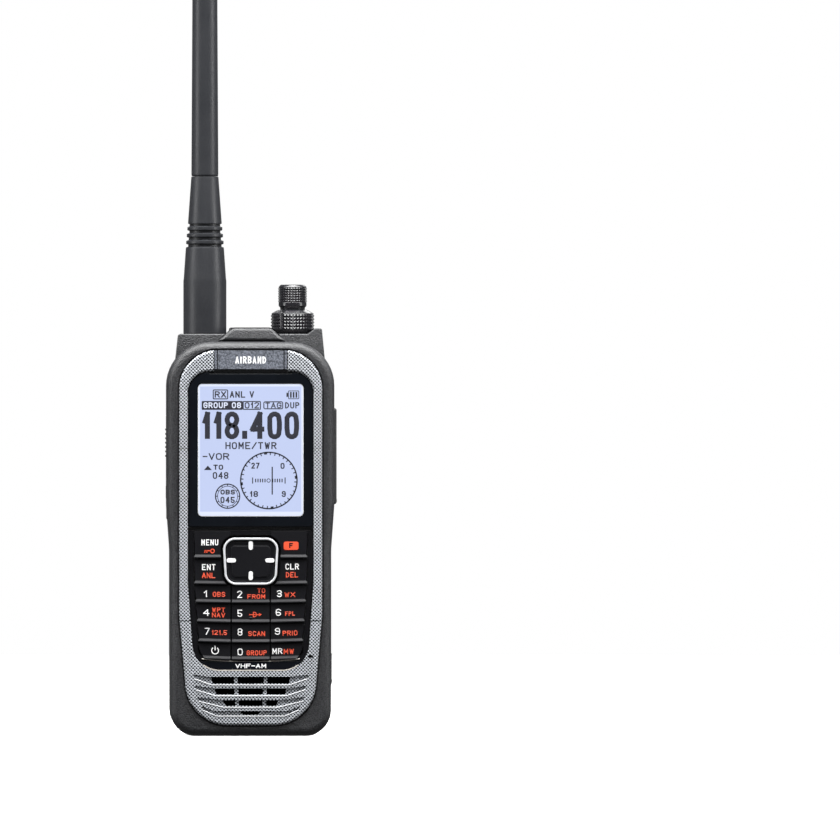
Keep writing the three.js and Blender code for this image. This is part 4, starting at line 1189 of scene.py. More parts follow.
class Page:
    """Collects flat marks that lie on the screen, at one depth."""

    def __init__(self, y):
        self.y = y
        self.marks = []

    def put(self, piece, finish="ink"):
        self.marks.append(coat(piece, Finishes.get(finish)))

    def words(self, words, x0, z0, x1, z1, stroke=0.46, finish="ink", lift=0.0):
        self.marks.append(lettering(words, x0, z0, x1, z1, self.y - lift, Finishes.get(finish), stroke))

    def fill(self, x0, z0, x1, z1, r=0.0, finish="ink", lift=0.0):
        y = self.y - lift
        self.put(prism("mark", rectangle(x0, z0, x1, z1, r), y - INK / 2, y + INK / 2), finish)

    def outline(self, x0, z0, x1, z1, r=0.5, width=0.36):
        corners = rectangle(x0, z0, x1, z1, r)
        self.put(band("mark", corners, width, self.y - INK / 2, self.y + INK / 2))

    def circle(self, x, z, radius, width):
        points = [(x + radius * math.cos(a), z + radius * math.sin(a), 0) for a in turns(64)]
        self.put(band("mark", points, width, self.y - INK / 2, self.y + INK / 2))

    def stroke(self, x, z, angle, near, far, width):
        """A straight mark that points away from (x, z) at an angle, from near to far."""
        along = Vector((math.cos(angle), math.sin(angle)))
        across = Vector((-along.y, along.x)) * width / 2
        ends = [along * near - across, along * far - across, along * far + across, along * near + across]
        corners = [(x + p.x, z + p.y, 0) for p in ends]
        self.put(prism("mark", corners, self.y - INK / 2, self.y + INK / 2))


def turns(count, start=0.0):
    """Angles of count even steps round a circle."""
    return [start + 2 * math.pi * i / count for i in range(count)]


def draw_status(page):
    """Upper two lines of the screen."""
    page.outline(-13.8, 122.5, -8.2, 126.1)
    page.words("RX", -13.1, 123.1, -8.9, 125.5)
    page.words("ANL V", -7.6, 123.1, 1.2, 125.5)
    page.outline(13.6, 122.6, 17.6, 125.7, 0.4, 0.25)
    page.fill(13.0, 123.4, 13.6, 124.9)
    for i in range(3):
        page.fill(14.3 + i, 123.1, 14.9 + i, 125.2)
    page.fill(-17.8, 118.7, -2.9, 121.9, 0.3)
    page.words("GROUP 08", -17.2, 119.3, -3.5, 121.4, 0.4, "margin", INK)
    page.outline(-2.9, 118.7, 3.7, 121.9, 0.4)
    page.words("012", -2.2, 119.2, 3.1, 121.5, 0.42)
    page.outline(4.6, 118.9, 11.8, 121.8, 0.7)
    page.words("TAG", 5.3, 119.3, 11.2, 121.4, 0.4)
    page.words("DUP", 12.5, 119.2, 17.7, 121.5, 0.42)


def draw_compass(page, x, z, radius):
    """Course ring with its ticks and numbers, the deviation scale and the needle."""
    page.circle(x, z, radius, 0.5)
    for i, angle in enumerate(turns(36)):
        length = 1.25 if i % 3 else 1.0
        page.stroke(x, z, angle + 0.12, radius - length, radius - 0.1, 0.36 if i % 9 else 1.1)
    for number, angle in (("27", 132), ("0", 47), ("18", 222), ("9", 318)):
        centre_x = x + (radius - 3.2) * math.cos(math.radians(angle))
        centre_z = z + (radius - 3.2) * math.sin(math.radians(angle))
        half = 0.75 * len(number)
        page.words(number, centre_x - half, centre_z - 1.1, centre_x + half, centre_z + 1.1)
    for side in (-1, 1):
        page.fill(x + side * 5.9 - 0.18, z - 1.1, x + side * 5.9 + 0.18, z + 1.1)
        for i in range(5):
            centre = x + side * (1.4 + 0.85 * i)
            page.fill(centre - 0.2, z - 0.65, centre + 0.2, z + 0.65)
    page.circle(x - 0.1, z, 0.75, 0.25)
    page.fill(x + 1.0, z - 5.1, x + 1.45, z + 5.0)


def draw_selector(page, x, z):
    """Small dial with the selected bearing."""
    page.circle(x, z, 4.6, 0.42)
    page.circle(x, z, 3.75, 0.22)
    for angle in turns(12):
        page.stroke(x, z, angle, 3.7, 4.3, 0.3)
    page.words("OBS", x - 2.6, z + 0.6, x + 2.7, z + 2.4)
    page.words("045", x - 2.6, z - 2.5, x + 2.6, z - 0.2)


class RADIO_OT_screen(bpy.types.Operator):
    """Lit screen with its marks: status line, frequency, course ring and bearing"""

    bl_idname = "radio.screen"
    bl_label = "Screen"

    def execute(self, context):
        front = PANE_LOW.y + 0.25
        x0, z0, x1, z1 = view_box()
        line = 0.22
        rim = prism("rim", rectangle(x0 - 0.5, z0 - 0.5, x1 + 0.5, z1 + 0.5, 1.8), front, front + 1)
        coat(rim, Finishes.get("ledge"))
        glow = prism(
            "glow", rectangle(x0 + line, z0 + line, x1 - line, z1 - line, 1.4), front - 0.05, front + 0.5
        )
        coat(glow, Finishes.get("margin"))
        field = prism(
            "field", rectangle(x0 + 0.8, z0 + 1.7, x1 - 0.8, z1 - 1.0, 0.2), front - 0.1, front + 0.4
        )
        coat(field, Finishes.get("field"))
        page = Page(front - 0.11)
        draw_status(page)
        page.words("118.400", -17.8, 108.0, 17.6, 118.1, 1.85)
        page.words("HOME/TWR", -9.2, 104.4, 9.4, 107.0)
        page.words("-VOR", -17.5, 100.5, -7.8, 103.0)
        arrow = [(-14.1, 96.8, 0), (-15.6, 98.4, 0), (-17.0, 96.8, 0)]
        page.put(prism("mark", arrow, page.y - 0.03, page.y + 0.03))
        page.words("TO", -13.6, 96.9, -10.0, 98.8)
        page.words("048", -13.8, 93.6, -8.1, 96.1)
        draw_compass(page, 6.6, 93.0, 10.5)
        draw_selector(page, -8.4, 87.3)
        screen = join("screen_face", [rim, glow, field, *page.marks])
        finish_piece(screen, "radio", ["lcd_module"], 20)
        return {"FINISHED"}


class RADIO_OT_label_strip(bpy.types.Operator):
    """Gloss strip under the keys between two fine bright lines"""

    bl_idname = "radio.label_strip"
    bl_label = "Label strip"

    def execute(self, context):
        low, high = place("label_strip")
        strip = prism("strip", inset(pane_outline(), 0.35), low.y + 0.1, high.y)
        cut(strip, block("cutter", (-THROUGH, -THROUGH, high.z), (THROUGH, THROUGH, 999)))
        soften(strip, 0.2, 2)
        coat(strip, Finishes.get("pane"))
        words = lettering("VHF-AM", -5.6, 24.8, 5.7, 26.4, low.y + 0.1, Finishes.get("white"), 0.36)
        foot = prism("foot", inset(pane_outline(), -0.05), TRIM_FACE - 0.05, TRIM_FACE + 0.7)
        cut(foot, prism("cutter", inset(pane_outline(), 0.35), TRIM_FACE - 1, TRIM_FACE + 2))
        cut(foot, block("cutter", (-THROUGH, -THROUGH, PANE_FOOT + 2.2), (THROUGH, THROUGH, 999)))
        soften(foot, 0.08)
        coat(foot, Finishes.get("worn"))
        line = bar("line", (0, low.y + 0.5, 0), 0.2, 35.6, "X", 8)
        for step in range(-5, 6):
            edit_all(line)
            bpy.ops.mesh.bisect(plane_co=(step * 3.2 * MM, 0, 0), plane_no=(1, 0, 0))
            to_object()
        for vertex in line.data.vertices:
            vertex.co.z += (27.1 + 1.05 * (vertex.co.x / MM / 17.8) ** 2) * MM
        coat(line, Finishes.get("worn"))
        finish_piece(join("strip_face", [strip, words, foot, line]), "radio", ["label_strip"])
        return {"FINISHED"}


# ------------------------------------------------------------------ keys


def dip(x, z):
    """How far a row bends down there: the rows sag in the middle, and more towards the foot."""
    half = PANE_HALF - KEY_MARGIN
    return max(0.0, 0.015 * (70 - z)) * (0.62 - (x / half) ** 2)


def arch(piece):
    """Bends level rows into shallow arcs."""
    for vertex in piece.data.vertices:
        vertex.co.z -= dip(vertex.co.x / MM, vertex.co.z / MM) * MM
    return piece


KEY_MARGIN = 2.3  # rubber border left showing round the keys
LIP = 1.25  # height of the pressing ridge along a key's lower edge
SLOPE_ENDS = 0.5  # how far the ridge's outer end slants in


def key_body(name):
    """A key: flat face, a ridge along its lower edge, and a mitred outer end."""
    low, high = place(name)
    face = low.y + 0.75
    outer_side = 0 if abs(low.x + high.x) < 1 else (1 if high.x > 0 else -1)
    inner = low.x if outer_side > 0 else high.x
    if outer_side:
        outer_low = outer_side * (keys_half(low.z) - KEY_MARGIN)
        outer_high = outer_side * (keys_half(high.z) - KEY_MARGIN)
        corners = [
            (outer_low, low.z, 0.5),
            (outer_high, high.z, 0.5),
            (inner, high.z, 0.25),
            (inner, low.z, 0.25),
        ]
        if outer_side < 0:
            corners = list(reversed(corners))
    else:
        corners = rectangle(low.x, low.z, high.x, high.z, 0.25)
    piece = prism(name + "_cap", corners, face, high.y)
    keep(piece, prism("cutter", inset(pane_outline(), KEY_MARGIN), face - 1, high.y + 1))
    if min(abs(low.x), abs(high.x)) < 10 and high.z > RING_LOW.z + 1:
        room = inset(rocker_outline(), -0.9)
        cut(piece, prism("cutter", room, face - 5, high.y + 1))
    lip_low, lip_high = low.z + 0.45, low.z + LIP
    for height in (lip_low, lip_high):
        edit_all(piece)
        bpy.ops.mesh.bisect(plane_co=(0, 0, height * MM), plane_no=(0, 0, 1))
        to_object()
    pick(piece, lambda v: v.y < face + 0.01 and v.z < lip_low + 0.05)
    bpy.ops.transform.translate(value=(0, (low.y - face) * MM, 0))
    to_object()
    if outer_side:
        reach = abs(piece_edge(piece, outer_side))
        pick(
            piece,
            lambda v: v.y < face + 0.01
            and abs(v.z - lip_high) < 0.1
            and outer_side * v.x > reach - 1.2,
        )
        bpy.ops.transform.translate(value=(-outer_side * SLOPE_ENDS * MM, 0, 0))
        to_object()
    soften(piece, 0.14, 2, 25)
    return piece, face


def piece_edge(piece, side):
    values = [vertex.co.x / MM for vertex in piece.data.vertices]
    return max(values) if side > 0 else min(values)


def rocker_outline():
    top_half, foot_half, height = 10.35, 9.4, 8.65
    middle = 63.6
    return mirrored([(foot_half, middle - height, 4.4), (top_half, middle + height, 4.4)])


def coat_lip_painted_highlight(piece, name, face):
    """The ridge along a key's lower edge gets a lighter colour than its face: a painted highlight of the
    light that catches it.
    """
    low, high = place(name)
    piece.data.materials.append(Finishes.get("lip"))
    for polygon in piece.data.polygons:
        centre = polygon.center / MM
        # Faces of the ridge take the lighter colour, a painted highlight.
        if centre.z < low.z + LIP and centre.y < face - 0.02:
            polygon.material_index = 1


# The words on each key: text, finish, left edge, foot, right edge and top.
LEGENDS = {
    "key_menu": [("MENU", "white", -18.0, 69.4, -11.8, 71.6)],
    "key_function": [],
    "key_enter": [("ENT", "white", -17.7, 60.4, -12.8, 62.6), ("ANL", "orange", -17.7, 57.5, -12.9, 59.5)],
    "key_clear": [("CLR", "white", 12.6, 60.6, 17.5, 62.8), ("DEL", "orange", 12.8, 57.7, 17.2, 59.7)],
    "key_1": [("1", "white", -17.3, 50.6, -15.7, 53.1), ("OBS", "orange", -13.8, 50.7, -9.3, 52.5)],
    "key_2": [
        ("2", "white", -4.9, 50.3, -3.1, 52.9),
        ("TO", "orange", 2.4, 52.1, 5.3, 53.8),
        ("FROM", "orange", -1.2, 50.0, 5.3, 51.6),
    ],
    "key_3": [("3", "white", 9.5, 50.6, 11.3, 53.1), ("WX", "orange", 12.2, 50.6, 16.2, 52.4)],
    "key_4": [
        ("4", "white", -17.3, 43.8, -15.0, 46.2),
        ("WPT", "orange", -14.1, 45.1, -9.3, 46.8),
        ("NAV", "orange", -14.1, 43.2, -9.3, 44.9),
    ],
    "key_5": [("5", "white", -4.8, 43.4, -3.1, 46.0)],
    "key_6": [("6", "white", 9.1, 43.8, 11.0, 46.3), ("FPL", "orange", 12.5, 43.8, 16.1, 45.4)],
    "key_7": [("7", "white", -16.7, 36.9, -14.9, 39.4), ("121.5", "orange", -14.2, 36.8, -8.6, 38.6)],
    "key_8": [("8", "white", -4.8, 36.6, -3.0, 39.2), ("SCAN", "orange", -0.9, 36.4, 5.2, 38.2)],
    "key_9": [("9", "white", 8.8, 36.9, 10.7, 39.4), ("PRIO", "orange", 11.6, 36.6, 17.0, 38.4)],
    "key_0": [("0", "white", -4.8, 29.4, -2.9, 31.9), ("GROUP", "orange", -1.5, 29.4, 5.8, 31.2)],
    "key_memory": [("MR", "white", 7.8, 29.9, 11.5, 32.0), ("MW", "orange", 11.9, 29.9, 15.8, 31.8)],
}
PRINT_WIDTH = {"white": 0.34, "orange": 0.31}  # of a stroke


def key_words(name, face):
    """The printed legend of one key."""
    white, orange = Finishes.get("white"), Finishes.get("orange")
    marks = []
    for words, finish, x0, z0, x1, z1 in LEGENDS.get(name, []):
        rise = dip((x0 + x1) / 2, z0)
        marks.append(
            lettering(words, x0, z0 + rise, x1, z1 + rise, face, Finishes.get(finish), PRINT_WIDTH[finish])
        )
    if name == "key_5":
        marks += direct_mark(1.1, 44.2 + dip(0, 44), face, orange)
    if name == "key_menu":
        marks += lock_mark(-15.0, 67.4, face, orange)
    if name == "key_function":
        tag = prism("tag", rectangle(12.0, 67.8, 17.4, 70.8, 0.7), face - INK, face + 0.2)
        marks.append(coat(tag, orange))
        marks.append(lettering("F", 14.0, 68.4, 15.4, 70.3, face - INK, Finishes.get("key"), 0.42))
    if name == "key_power":
        marks += power_mark(-12.95, 31.2 + dip(-13, 31), face, white)
    return marks


def mark_ring(x, z, radius, width, face, finish, gap=0.0):
    """A printed ring, open at the top by an angle when a gap is given."""
    spokes = 40
    outer = []
    inner = []
    for i in range(spokes + 1):
        angle = math.pi / 2 + gap / 2 + (2 * math.pi - gap) * i / spokes
        outer.append((x + radius * math.cos(angle), z + radius * math.sin(angle), 0))
        inner.append((x + (radius - width) * math.cos(angle), z + (radius - width) * math.sin(angle), 0))
    if gap:
        piece = prism("mark", outer + list(reversed(inner)), face - INK, face + 0.05)
    else:
        piece = band("mark", outer[:-1], width, face - INK, face + 0.05)
    return coat(piece, finish)


def mark_bar(x0, z0, x1, z1, face, finish, r=0.0):
    return coat(prism("mark", rectangle(x0, z0, x1, z1, r), face - INK, face + 0.05), finish)


def power_mark(x, z, face, finish):
    ring = mark_ring(x, z, 1.4, 0.34, face, finish, math.radians(70))
    return [ring, mark_bar(x - 0.18, z + 0.1, x + 0.18, z + 1.7, face, finish, 0.1)]


def lock_mark(x, z, face, finish):
    """A small key lying on its side."""
    bow = mark_ring(x + 1.1, z, 0.85, 0.35, face, finish)
    shaft = mark_bar(x - 1.9, z - 0.1, x + 0.4, z + 0.3, face, finish)
    teeth = [
        mark_bar(x - 1.9 + shift, z - 0.7, x - 1.5 + shift, z + 0.2, face, finish) for shift in (0, 0.75)
    ]
    return [bow, shaft, *teeth]


def direct_mark(x, z, face, finish):
    """Letter D with an arrow through it."""
    letter = lettering("D", x - 0.3, z - 0.9, x + 1.2, z + 1.0, face, finish, 0.3)
    line = mark_bar(x - 1.6, z - 0.1, x + 2.2, z + 0.2, face, finish)
    head = prism(
        "mark",
        [(x + 2.9, z + 0.05, 0), (x + 1.9, z + 0.65, 0), (x + 1.9, z - 0.55, 0)],
        face - INK,
        face + 0.05,
    )
    return [letter, line, coat(head, finish)]


class RADIO_OT_keys(bpy.types.Operator):
    """Sixteen key caps with their ridges and legends"""

    bl_idname = "radio.keys"
    bl_label = "Keys"

    def execute(self, context):
        for name in KEY_NODES:
            cap, face = key_body(name)
            coat(cap, Finishes.get("key"))
            coat_lip_painted_highlight(cap, name, face)
            marks = key_words(name, face)
            if name == "key_5":
                bpy.ops.object.select_all(action="DESELECT")
                bpy.ops.mesh.primitive_uv_sphere_add(
                    segments=16, ring_count=8, radius=0.55 * MM, location=(0.1 * MM, face * MM, 43.2 * MM)
                )
                nub = bpy.context.object
                nub.scale = (1.4, 0.6, 0.8)
                settle(nub)
                marks.append(coat(nub, Finishes.get("key")))
            piece = join(name + "_cap", [cap, *marks])
            arch(piece)
            finish_piece(piece, name, [name], 30)
        return {"FINISHED"}


class RADIO_OT_keypad_mat(bpy.types.Operator):
    """Rubber mat whose border shows round the keys"""

    bl_idname = "radio.keypad_mat"
    bl_label = "Keypad mat"

    def execute(self, context):
        low, high = place("keypad_mat")
        top = PANE_LOW.z - 1.2
        foot = place("label_strip")[1].z + 0.4
        back = high.y
        outline = mirrored(
            [
                (keys_half(foot) - 0.35, foot, 3.2),
                (keys_half(KEY_TAPER_FROM) - 0.35, KEY_TAPER_FROM, 30),
                (PANE_HALF - 0.35, top, 0.6),
            ]
        )
        mat = prism("keypad_mat_face", outline, low.y, back)
        round_edge(mat, lambda v: v.y < low.y + 0.01, 0.35, 3)
        well = inset(outline, KEY_MARGIN - 0.55)
        cut(mat, prism("cutter", well, low.y - 1, place("key_5")[1].y + 0.55))
        cut(mat, prism("cutter", inset(rocker_outline(), -0.3), low.y - 1, RING_HIGH.y))
        soften(mat, 0.12, 2)
        coat(mat, Finishes.get("key"))
        finish_piece(mat, "radio", ["keypad_mat"])
        return {"FINISHED"}


class RADIO_OT_rocker(bpy.types.Operator):
    """Bright ring and the four-way rocker inside it"""

    bl_idname = "radio.rocker"
    bl_label = "Rocker"

    def execute(self, context):
        front = RING_LOW.y
        collar = band("collar", rocker_outline(), 1.6, front + 0.55, RING_HIGH.y)
        soften(collar, 0.3, 3)
        coat(collar, Finishes.get("key"))
        ring = band("ring", inset(rocker_outline(), 0.1), 0.75, front, front + 1.2)
        soften(ring, 0.22, 3)
        coat(ring, Finishes.get("bright"))
        finish_piece(join("rocker_ring_face", [collar, ring]), "radio", ["rocker_ring"])

        pad_outline = inset(rocker_outline(), 1.3)
        pad = prism("pad", pad_outline, CAP_LOW.y + 0.35, CAP_HIGH.y)
        round_edge(pad, lambda v: v.y < CAP_LOW.y + 0.36, 0.5, 4)
        raised = prism("raised", inset(rocker_outline(), 2.9), CAP_LOW.y, CAP_LOW.y + 1)
        round_edge(raised, lambda v: v.y < CAP_LOW.y + 0.01, 0.35, 3)
        pieces = [coat(pad, Finishes.get("key")), coat(raised, Finishes.get("key"))]
        middle = (CAP_LOW.z + CAP_HIGH.z) / 2
        bars = [
            (0, 5.75, 0.78, 1.6),
            (0, -5.2, 0.78, 1.6),
            (-7.05, 0.35, 1.7, 0.78),
            (6.95, 0.35, 1.65, 0.78),
        ]
        for x, z, half, tall in bars:
            mark = prism(
                "mark",
                rectangle(x - half, middle + z - tall, x + half, middle + z + tall, 0.7),
                CAP_LOW.y - 0.05,
                CAP_LOW.y + 0.9,
            )
            soften(mark, 0.12, 2)
            pieces.append(coat(mark, Finishes.get("white")))
        finish_piece(join("rocker_pad", pieces), "rocker_cap", ["rocker_cap"])
        return {"FINISHED"}


# ------------------------------------------------------------------ sides


def side_pad(name, node_name, side, edge):
    """A rounded pad in a side wall, the size of its CAD node."""
    low, high = place(node_name)
    corners = [(high.y, low.z, 1.0), (high.y, high.z, 1.0), (low.y, high.z, 1.0), (low.y, low.z, 1.0)]
    piece = sheet_of(name, rounded(corners), 0)
    inner = high.x if side < 0 else low.x
    outer = low.x if side < 0 else high.x
    for vertex in piece.data.vertices:
        vertex.co = Vector((inner * MM, vertex.co.x, vertex.co.z))
    edit_all(piece)
    bpy.ops.mesh.extrude_region_move(TRANSFORM_OT_translate={"value": ((outer - inner) * MM, 0, 0)})
    to_object()
    face_out(piece)
    round_edge(piece, lambda v: abs(v.x - outer) < 0.01, edge, 5)
    return piece


class RADIO_OT_side_keys(bpy.types.Operator):
    """Push-to-talk key with its ribs, and the two small keys under it"""

    bl_idname = "radio.side_keys"
    bl_label = "Side keys"

    def execute(self, context):
        low, high = place("ptt_key")
        key = side_pad("push_to_talk", "ptt_key", -1, 0.7)
        ribs = []
        for i in range(7):
            z = low.z + 8.2 + i * 1.6
            rib = prism("rib", rectangle(low.y + 1.4, z, high.y - 1.4, z + 0.7, 0.3), low.x, low.x + 1)
            for vertex in rib.data.vertices:
                vertex.co = Vector((vertex.co.y, vertex.co.x, vertex.co.z))
            face_out(rib)
            soften(rib, 0.15, 2)
            ribs.append(coat(rib, Finishes.get("rubber")))
        coat(key, Finishes.get("rubber"))
        move = Vector((0.35 * MM, 0, 0))
        for vertex in key.data.vertices:
            vertex.co += move
        finish_piece(join("push_to_talk", [key, *ribs]), "ptt_key", ["ptt_key"])
        for node_name in ("squelch_key", "light_key"):
            small = side_pad(node_name + "_pad", node_name, -1, 0.8)
            coat(small, Finishes.get("rubber"))
            finish_piece(small, node_name, [node_name])
        return {"FINISHED"}


class RADIO_OT_covers(bpy.types.Operator):
    """Rubber covers over the headset sockets and the charging port"""

    bl_idname = "radio.covers"
    bl_label = "Covers"

    def execute(self, context):
        for node_name, edge in (("jack_cover", 0.9), ("port_cover", 0.5)):
            low, high = place(node_name)
            flap = side_pad(node_name + "_flap", node_name, 1, edge)
            middle_y = (low.y + high.y) / 2
            tab = block(
                "tab",
                (high.x - 0.4, middle_y - 2.2, low.z + 0.8),
                (high.x + 0.15, middle_y + 2.2, low.z + 1.9),
            )
            soften(tab, 0.15, 2)
            coat(tab, Finishes.get("rubber"))
            coat(flap, Finishes.get("rubber"))
            finish_piece(join(node_name + "_flap", [flap, tab]), node_name, [node_name])
        return {"FINISHED"}


# ------------------------------------------------------------------ aerial and knobs


class RADIO_OT_aerial(bpy.types.Operator):
    """Rubber boot with its flexing rings, and the whip"""

    bl_idname = "radio.aerial"
    bl_label = "Aerial"

    def execute(self, context):
        foot, top = PLATFORM + SEAT, BOOT_HIGH.z
        wide = (BOOT_HIGH.x - BOOT_LOW.x) / 2
        neck = PLATFORM + 31.6
        stations = [
            (wide - 0.15, foot),
            (wide, foot + 0.15),
            (wide, PLATFORM + 19.2),
            (wide - 0.15, PLATFORM + 20.4),
            (6.98, neck - 0.6),
            (6.85, neck),
        ]
        pitch, deep = 2.5, 0.75
        for i in range(3):
            z = neck + i * pitch
            r = 6.85 - 0.22 * i
            stations += [
                (r - deep, z + 0.25),
                (r - deep, z + 1.0),
                (r - 0.1, z + 1.2),
                (r, z + 1.4),
                (r - 0.05, z + pitch - 0.15),
            ]
        z = neck + 3 * pitch
        stations += [(5.6, z + 0.2), (5.6, z + 0.9), (6.1, z + 1.1), (6.15, z + 1.4)]
        stations += [(5.0, top - 0.6), (4.92, top)]
        boot = lathe("aerial_boot", (BOOT_X, AXIS_Y), stations, 64)
        socket = lathe("cutter", (BOOT_X, AXIS_Y), [(7.2, foot - 1), (7.2, foot + 13.6)], 48)
        cut(boot, socket)
        coat(boot, Finishes.get("aerial"))
        finish_piece(boot, "antenna", ["antenna_boot"], 50)

        low, high = place("antenna_whip")
        whip_stations = [
            (4.6, top + 0.12),
            (4.85, top + 0.3),
            (4.92, top + 0.9),
            (4.6, top + 60),
            (4.32, high.z - 4.3),
        ]
        for i in range(1, 9):
            angle = math.pi / 2 * i / 8.3
            whip_stations.append((4.3 * math.cos(angle), high.z - 4.3 + 4.3 * math.sin(angle)))
        whip = lathe("aerial_whip", (BOOT_X, AXIS_Y), whip_stations, 48)
        coat(whip, Finishes.get("aerial"))
        finish_piece(whip, "antenna", ["antenna_whip"], 50)
        return {"FINISHED"}


def knurled(name, centre, radius, foot, top, rows, columns, stud):
    """A band of small four-sided pyramids in level rows round a knob, radius to their tips."""
    deselect()
    bpy.ops.mesh.primitive_cylinder_add(
        vertices=columns,
        radius=(radius - stud) * MM,
        depth=(top - foot) * MM,
        location=(centre[0] * MM, centre[1] * MM, (foot + top) / 2 * MM),
        end_fill_type="NGON",
    )
    piece = bpy.context.object
    piece.name = name
    settle(piece)
    for i in range(1, rows):
        height = foot + i * (top - foot) / rows
        edit_all(piece)
        bpy.ops.mesh.bisect(plane_co=(0, 0, height * MM), plane_no=(0, 0, 1))
        to_object()
    edit_all(piece)
    bpy.ops.mesh.select_mode(type="FACE")
    bpy.ops.mesh.select_all(action="DESELECT")
    to_object()
    for face in piece.data.polygons:
        face.select = abs(face.normal.z) < 0.5
    bpy.ops.object.mode_set(mode="EDIT")
    bpy.ops.mesh.poke(offset=stud * MM)
    to_object()
    return piece


class RADIO_OT_knobs(bpy.types.Operator):
    """Knurled volume knob on top of the knurled dial"""

    bl_idname = "radio.knobs"
    bl_label = "Knobs"

    def execute(self, context):
        stud = sizes().stud
        centre = (KNOB_X, AXIS_Y)
        finish = Finishes.get("knob")
        low, high = place("dial_knob")
        outer = 8.0
        foot, top = low.z + 1.0, high.z - 1.65
        core = lathe(
            "dial_core",
            centre,
            [
                (outer - 1.5, PLATFORM + SEAT),
                (outer - 0.55, foot + 0.05),
                (outer - 0.55, top - 0.05),
                (outer - 0.3, top + 0.1),
                (outer - 0.35, top + 0.35),
                (5.5, high.z - 0.1),
                (5.2, high.z),
            ],
            72,
        )
        soften(core, 0.12, 2, 30)
        rows = knurled("dial_rows", centre, outer, foot, top, 5, sizes().dial_columns, stud)
        rim_y = AXIS_Y - outer
        pointer = block(
            "pointer",
            (KNOB_X - 0.6, rim_y - 0.2, foot + 0.2),
            (KNOB_X + 0.6, rim_y + 1, high.z - 0.9),
        )
        soften(pointer, 0.25, 3)
        turn_about(pointer, centre, -32)
        notch = block(
            "notch",
            (KNOB_X - 0.45, rim_y + 0.2, top + 0.1),
            (KNOB_X + 0.45, AXIS_Y - 5.2, high.z - 0.2),
        )
        soften(notch, 0.15, 2)
        turn_about(notch, centre, -32)
        parts = [coat(part, finish) for part in (core, rows, pointer, notch)]
        finish_piece(join("dial_knurled", parts), "dial", ["dial_knob"], 30)

        low, high = place("volume_knob")
        outer = 5.35
        foot, top = low.z + 2.4, high.z - 1.1
        core = lathe(
            "volume_core",
            centre,
            [
                (4.5, low.z - 0.3 + SEAT),
                (4.55, low.z + 0.55),
                (4.7, low.z + 0.7),
                (5.1, low.z + 1.1),
                (5.1, foot - 0.05),
                (outer - 0.45, foot + 0.05),
                (outer - 0.45, top - 0.05),
                (5.08, top + 0.05),
                (5.05, top + 0.3),
                (4.3, high.z - 0.05),
                (4.1, high.z),
            ],
            64,
        )
        soften(core, 0.1, 2, 30)
        rows = knurled("volume_rows", centre, outer, foot, top, 6, sizes().volume_columns, stud * 0.8)
        parts = [coat(part, finish) for part in (core, rows)]
        finish_piece(join("volume_knurled", parts), "volume", ["volume_knob"], 30)
        return {"FINISHED"}


def turn_about(piece, centre, degrees):
    """Turns a piece about a vertical axis."""
    pivot = Vector((centre[0] * MM, centre[1] * MM, 0))
    turn = Matrix.Rotation(math.radians(degrees), 4, "Z")
    about = Matrix.Translation(pivot) @ turn @ Matrix.Translation(-pivot)
    piece.matrix_world = about @ piece.matrix_world
    settle(piece)


# ------------------------------------------------------------------ battery


class RADIO_OT_battery(bpy.types.Operator):
    """Battery pack: case, lid with its recess, ribs and contacts, and the latch"""

    bl_idname = "radio.battery"
    bl_label = "Battery"

    def execute(self, context):
        low, high = place("battery_case")
        back = LID_HIGH.y
        top = high.z
        notch = block("cutter", (-9.3, back - 4.5, -9), (9.3, back + 9, 10.7))
        seam = low.y - 0.24  # the pack lies close to the plate, so that no light shows between
        pack = prism("pack", body_outline(), seam, high.y)
        cut(pack, block("cutter", (-THROUGH, -THROUGH, top), (THROUGH, THROUGH, 999)), notch)
        soften(pack, 0.25, 2, 40)
        coat(pack, Finishes.get("case"))
        finish_piece(pack, "battery", ["battery_case"])

        lid = prism("lid", body_outline(), high.y + 0.02, back)
        cut(lid, block("cutter", (-THROUGH, -THROUGH, top), (THROUGH, THROUGH, 999)))
        round_edge(lid, lambda v: v.y > back - 0.01, 1.4, 6)
        notch = block("cutter", (-9.3, back - 4.5, -9), (9.3, back + 9, 10.7))
        panel = prism("cutter", rectangle(-20, 44, 20, 84, 2), back - 0.4, back + 1)
        cut(lid, notch, panel)
        for i in range(5):
            z = 15 + i * 2.2
            cut(lid, prism("cutter", rectangle(-13 + i, z, 13 - i, z + 1.1, 0.5), back - 0.5, back + 1))
        for x in (-12, 12):
            cut(lid, bar("cutter", (x, back, 98), 2.6, 1.6, "Y", 32))
        soften(lid, 0.2, 2, 40)
        coat(lid, Finishes.get("case"))
        parts = [lid]
        for x in (-12, 12):
            insert = bar("insert", (x, back - 0.5, 98), 2.0, 0.8, "Y", 24)
            cut(insert, bar("cutter", (x, back, 98), 1.1, 3, "Y", 16))
            soften(insert, 0.1)
            parts.append(coat(insert, Finishes.get("brass")))
        for x in (-7.5, 0, 7.5):
            contact = block("contact", (x - 1.3, back - 0.5, 30), (x + 1.3, back - 0.02, 34.5))
            soften(contact, 0.2, 2)
            parts.append(coat(contact, Finishes.get("brass")))
        finish_piece(join("battery_back", parts), "battery", ["battery_lid"])

        low, high = place("battery_latch")
        latch = block("latch", low, high)
        for i in range(4):
            z = low.z + 1.4 + i * 1.4
            cut(latch, block("cutter", (-6.5, high.y - 0.6, z), (6.5, high.y + 1, z + 0.6)))
        soften(latch, 0.35, 3, 60)
        coat(latch, Finishes.get("rubber"))
        finish_piece(latch, "battery_latch", ["battery_latch"])
        return {"FINISHED"}


# ------------------------------------------------------------------ inner pieces


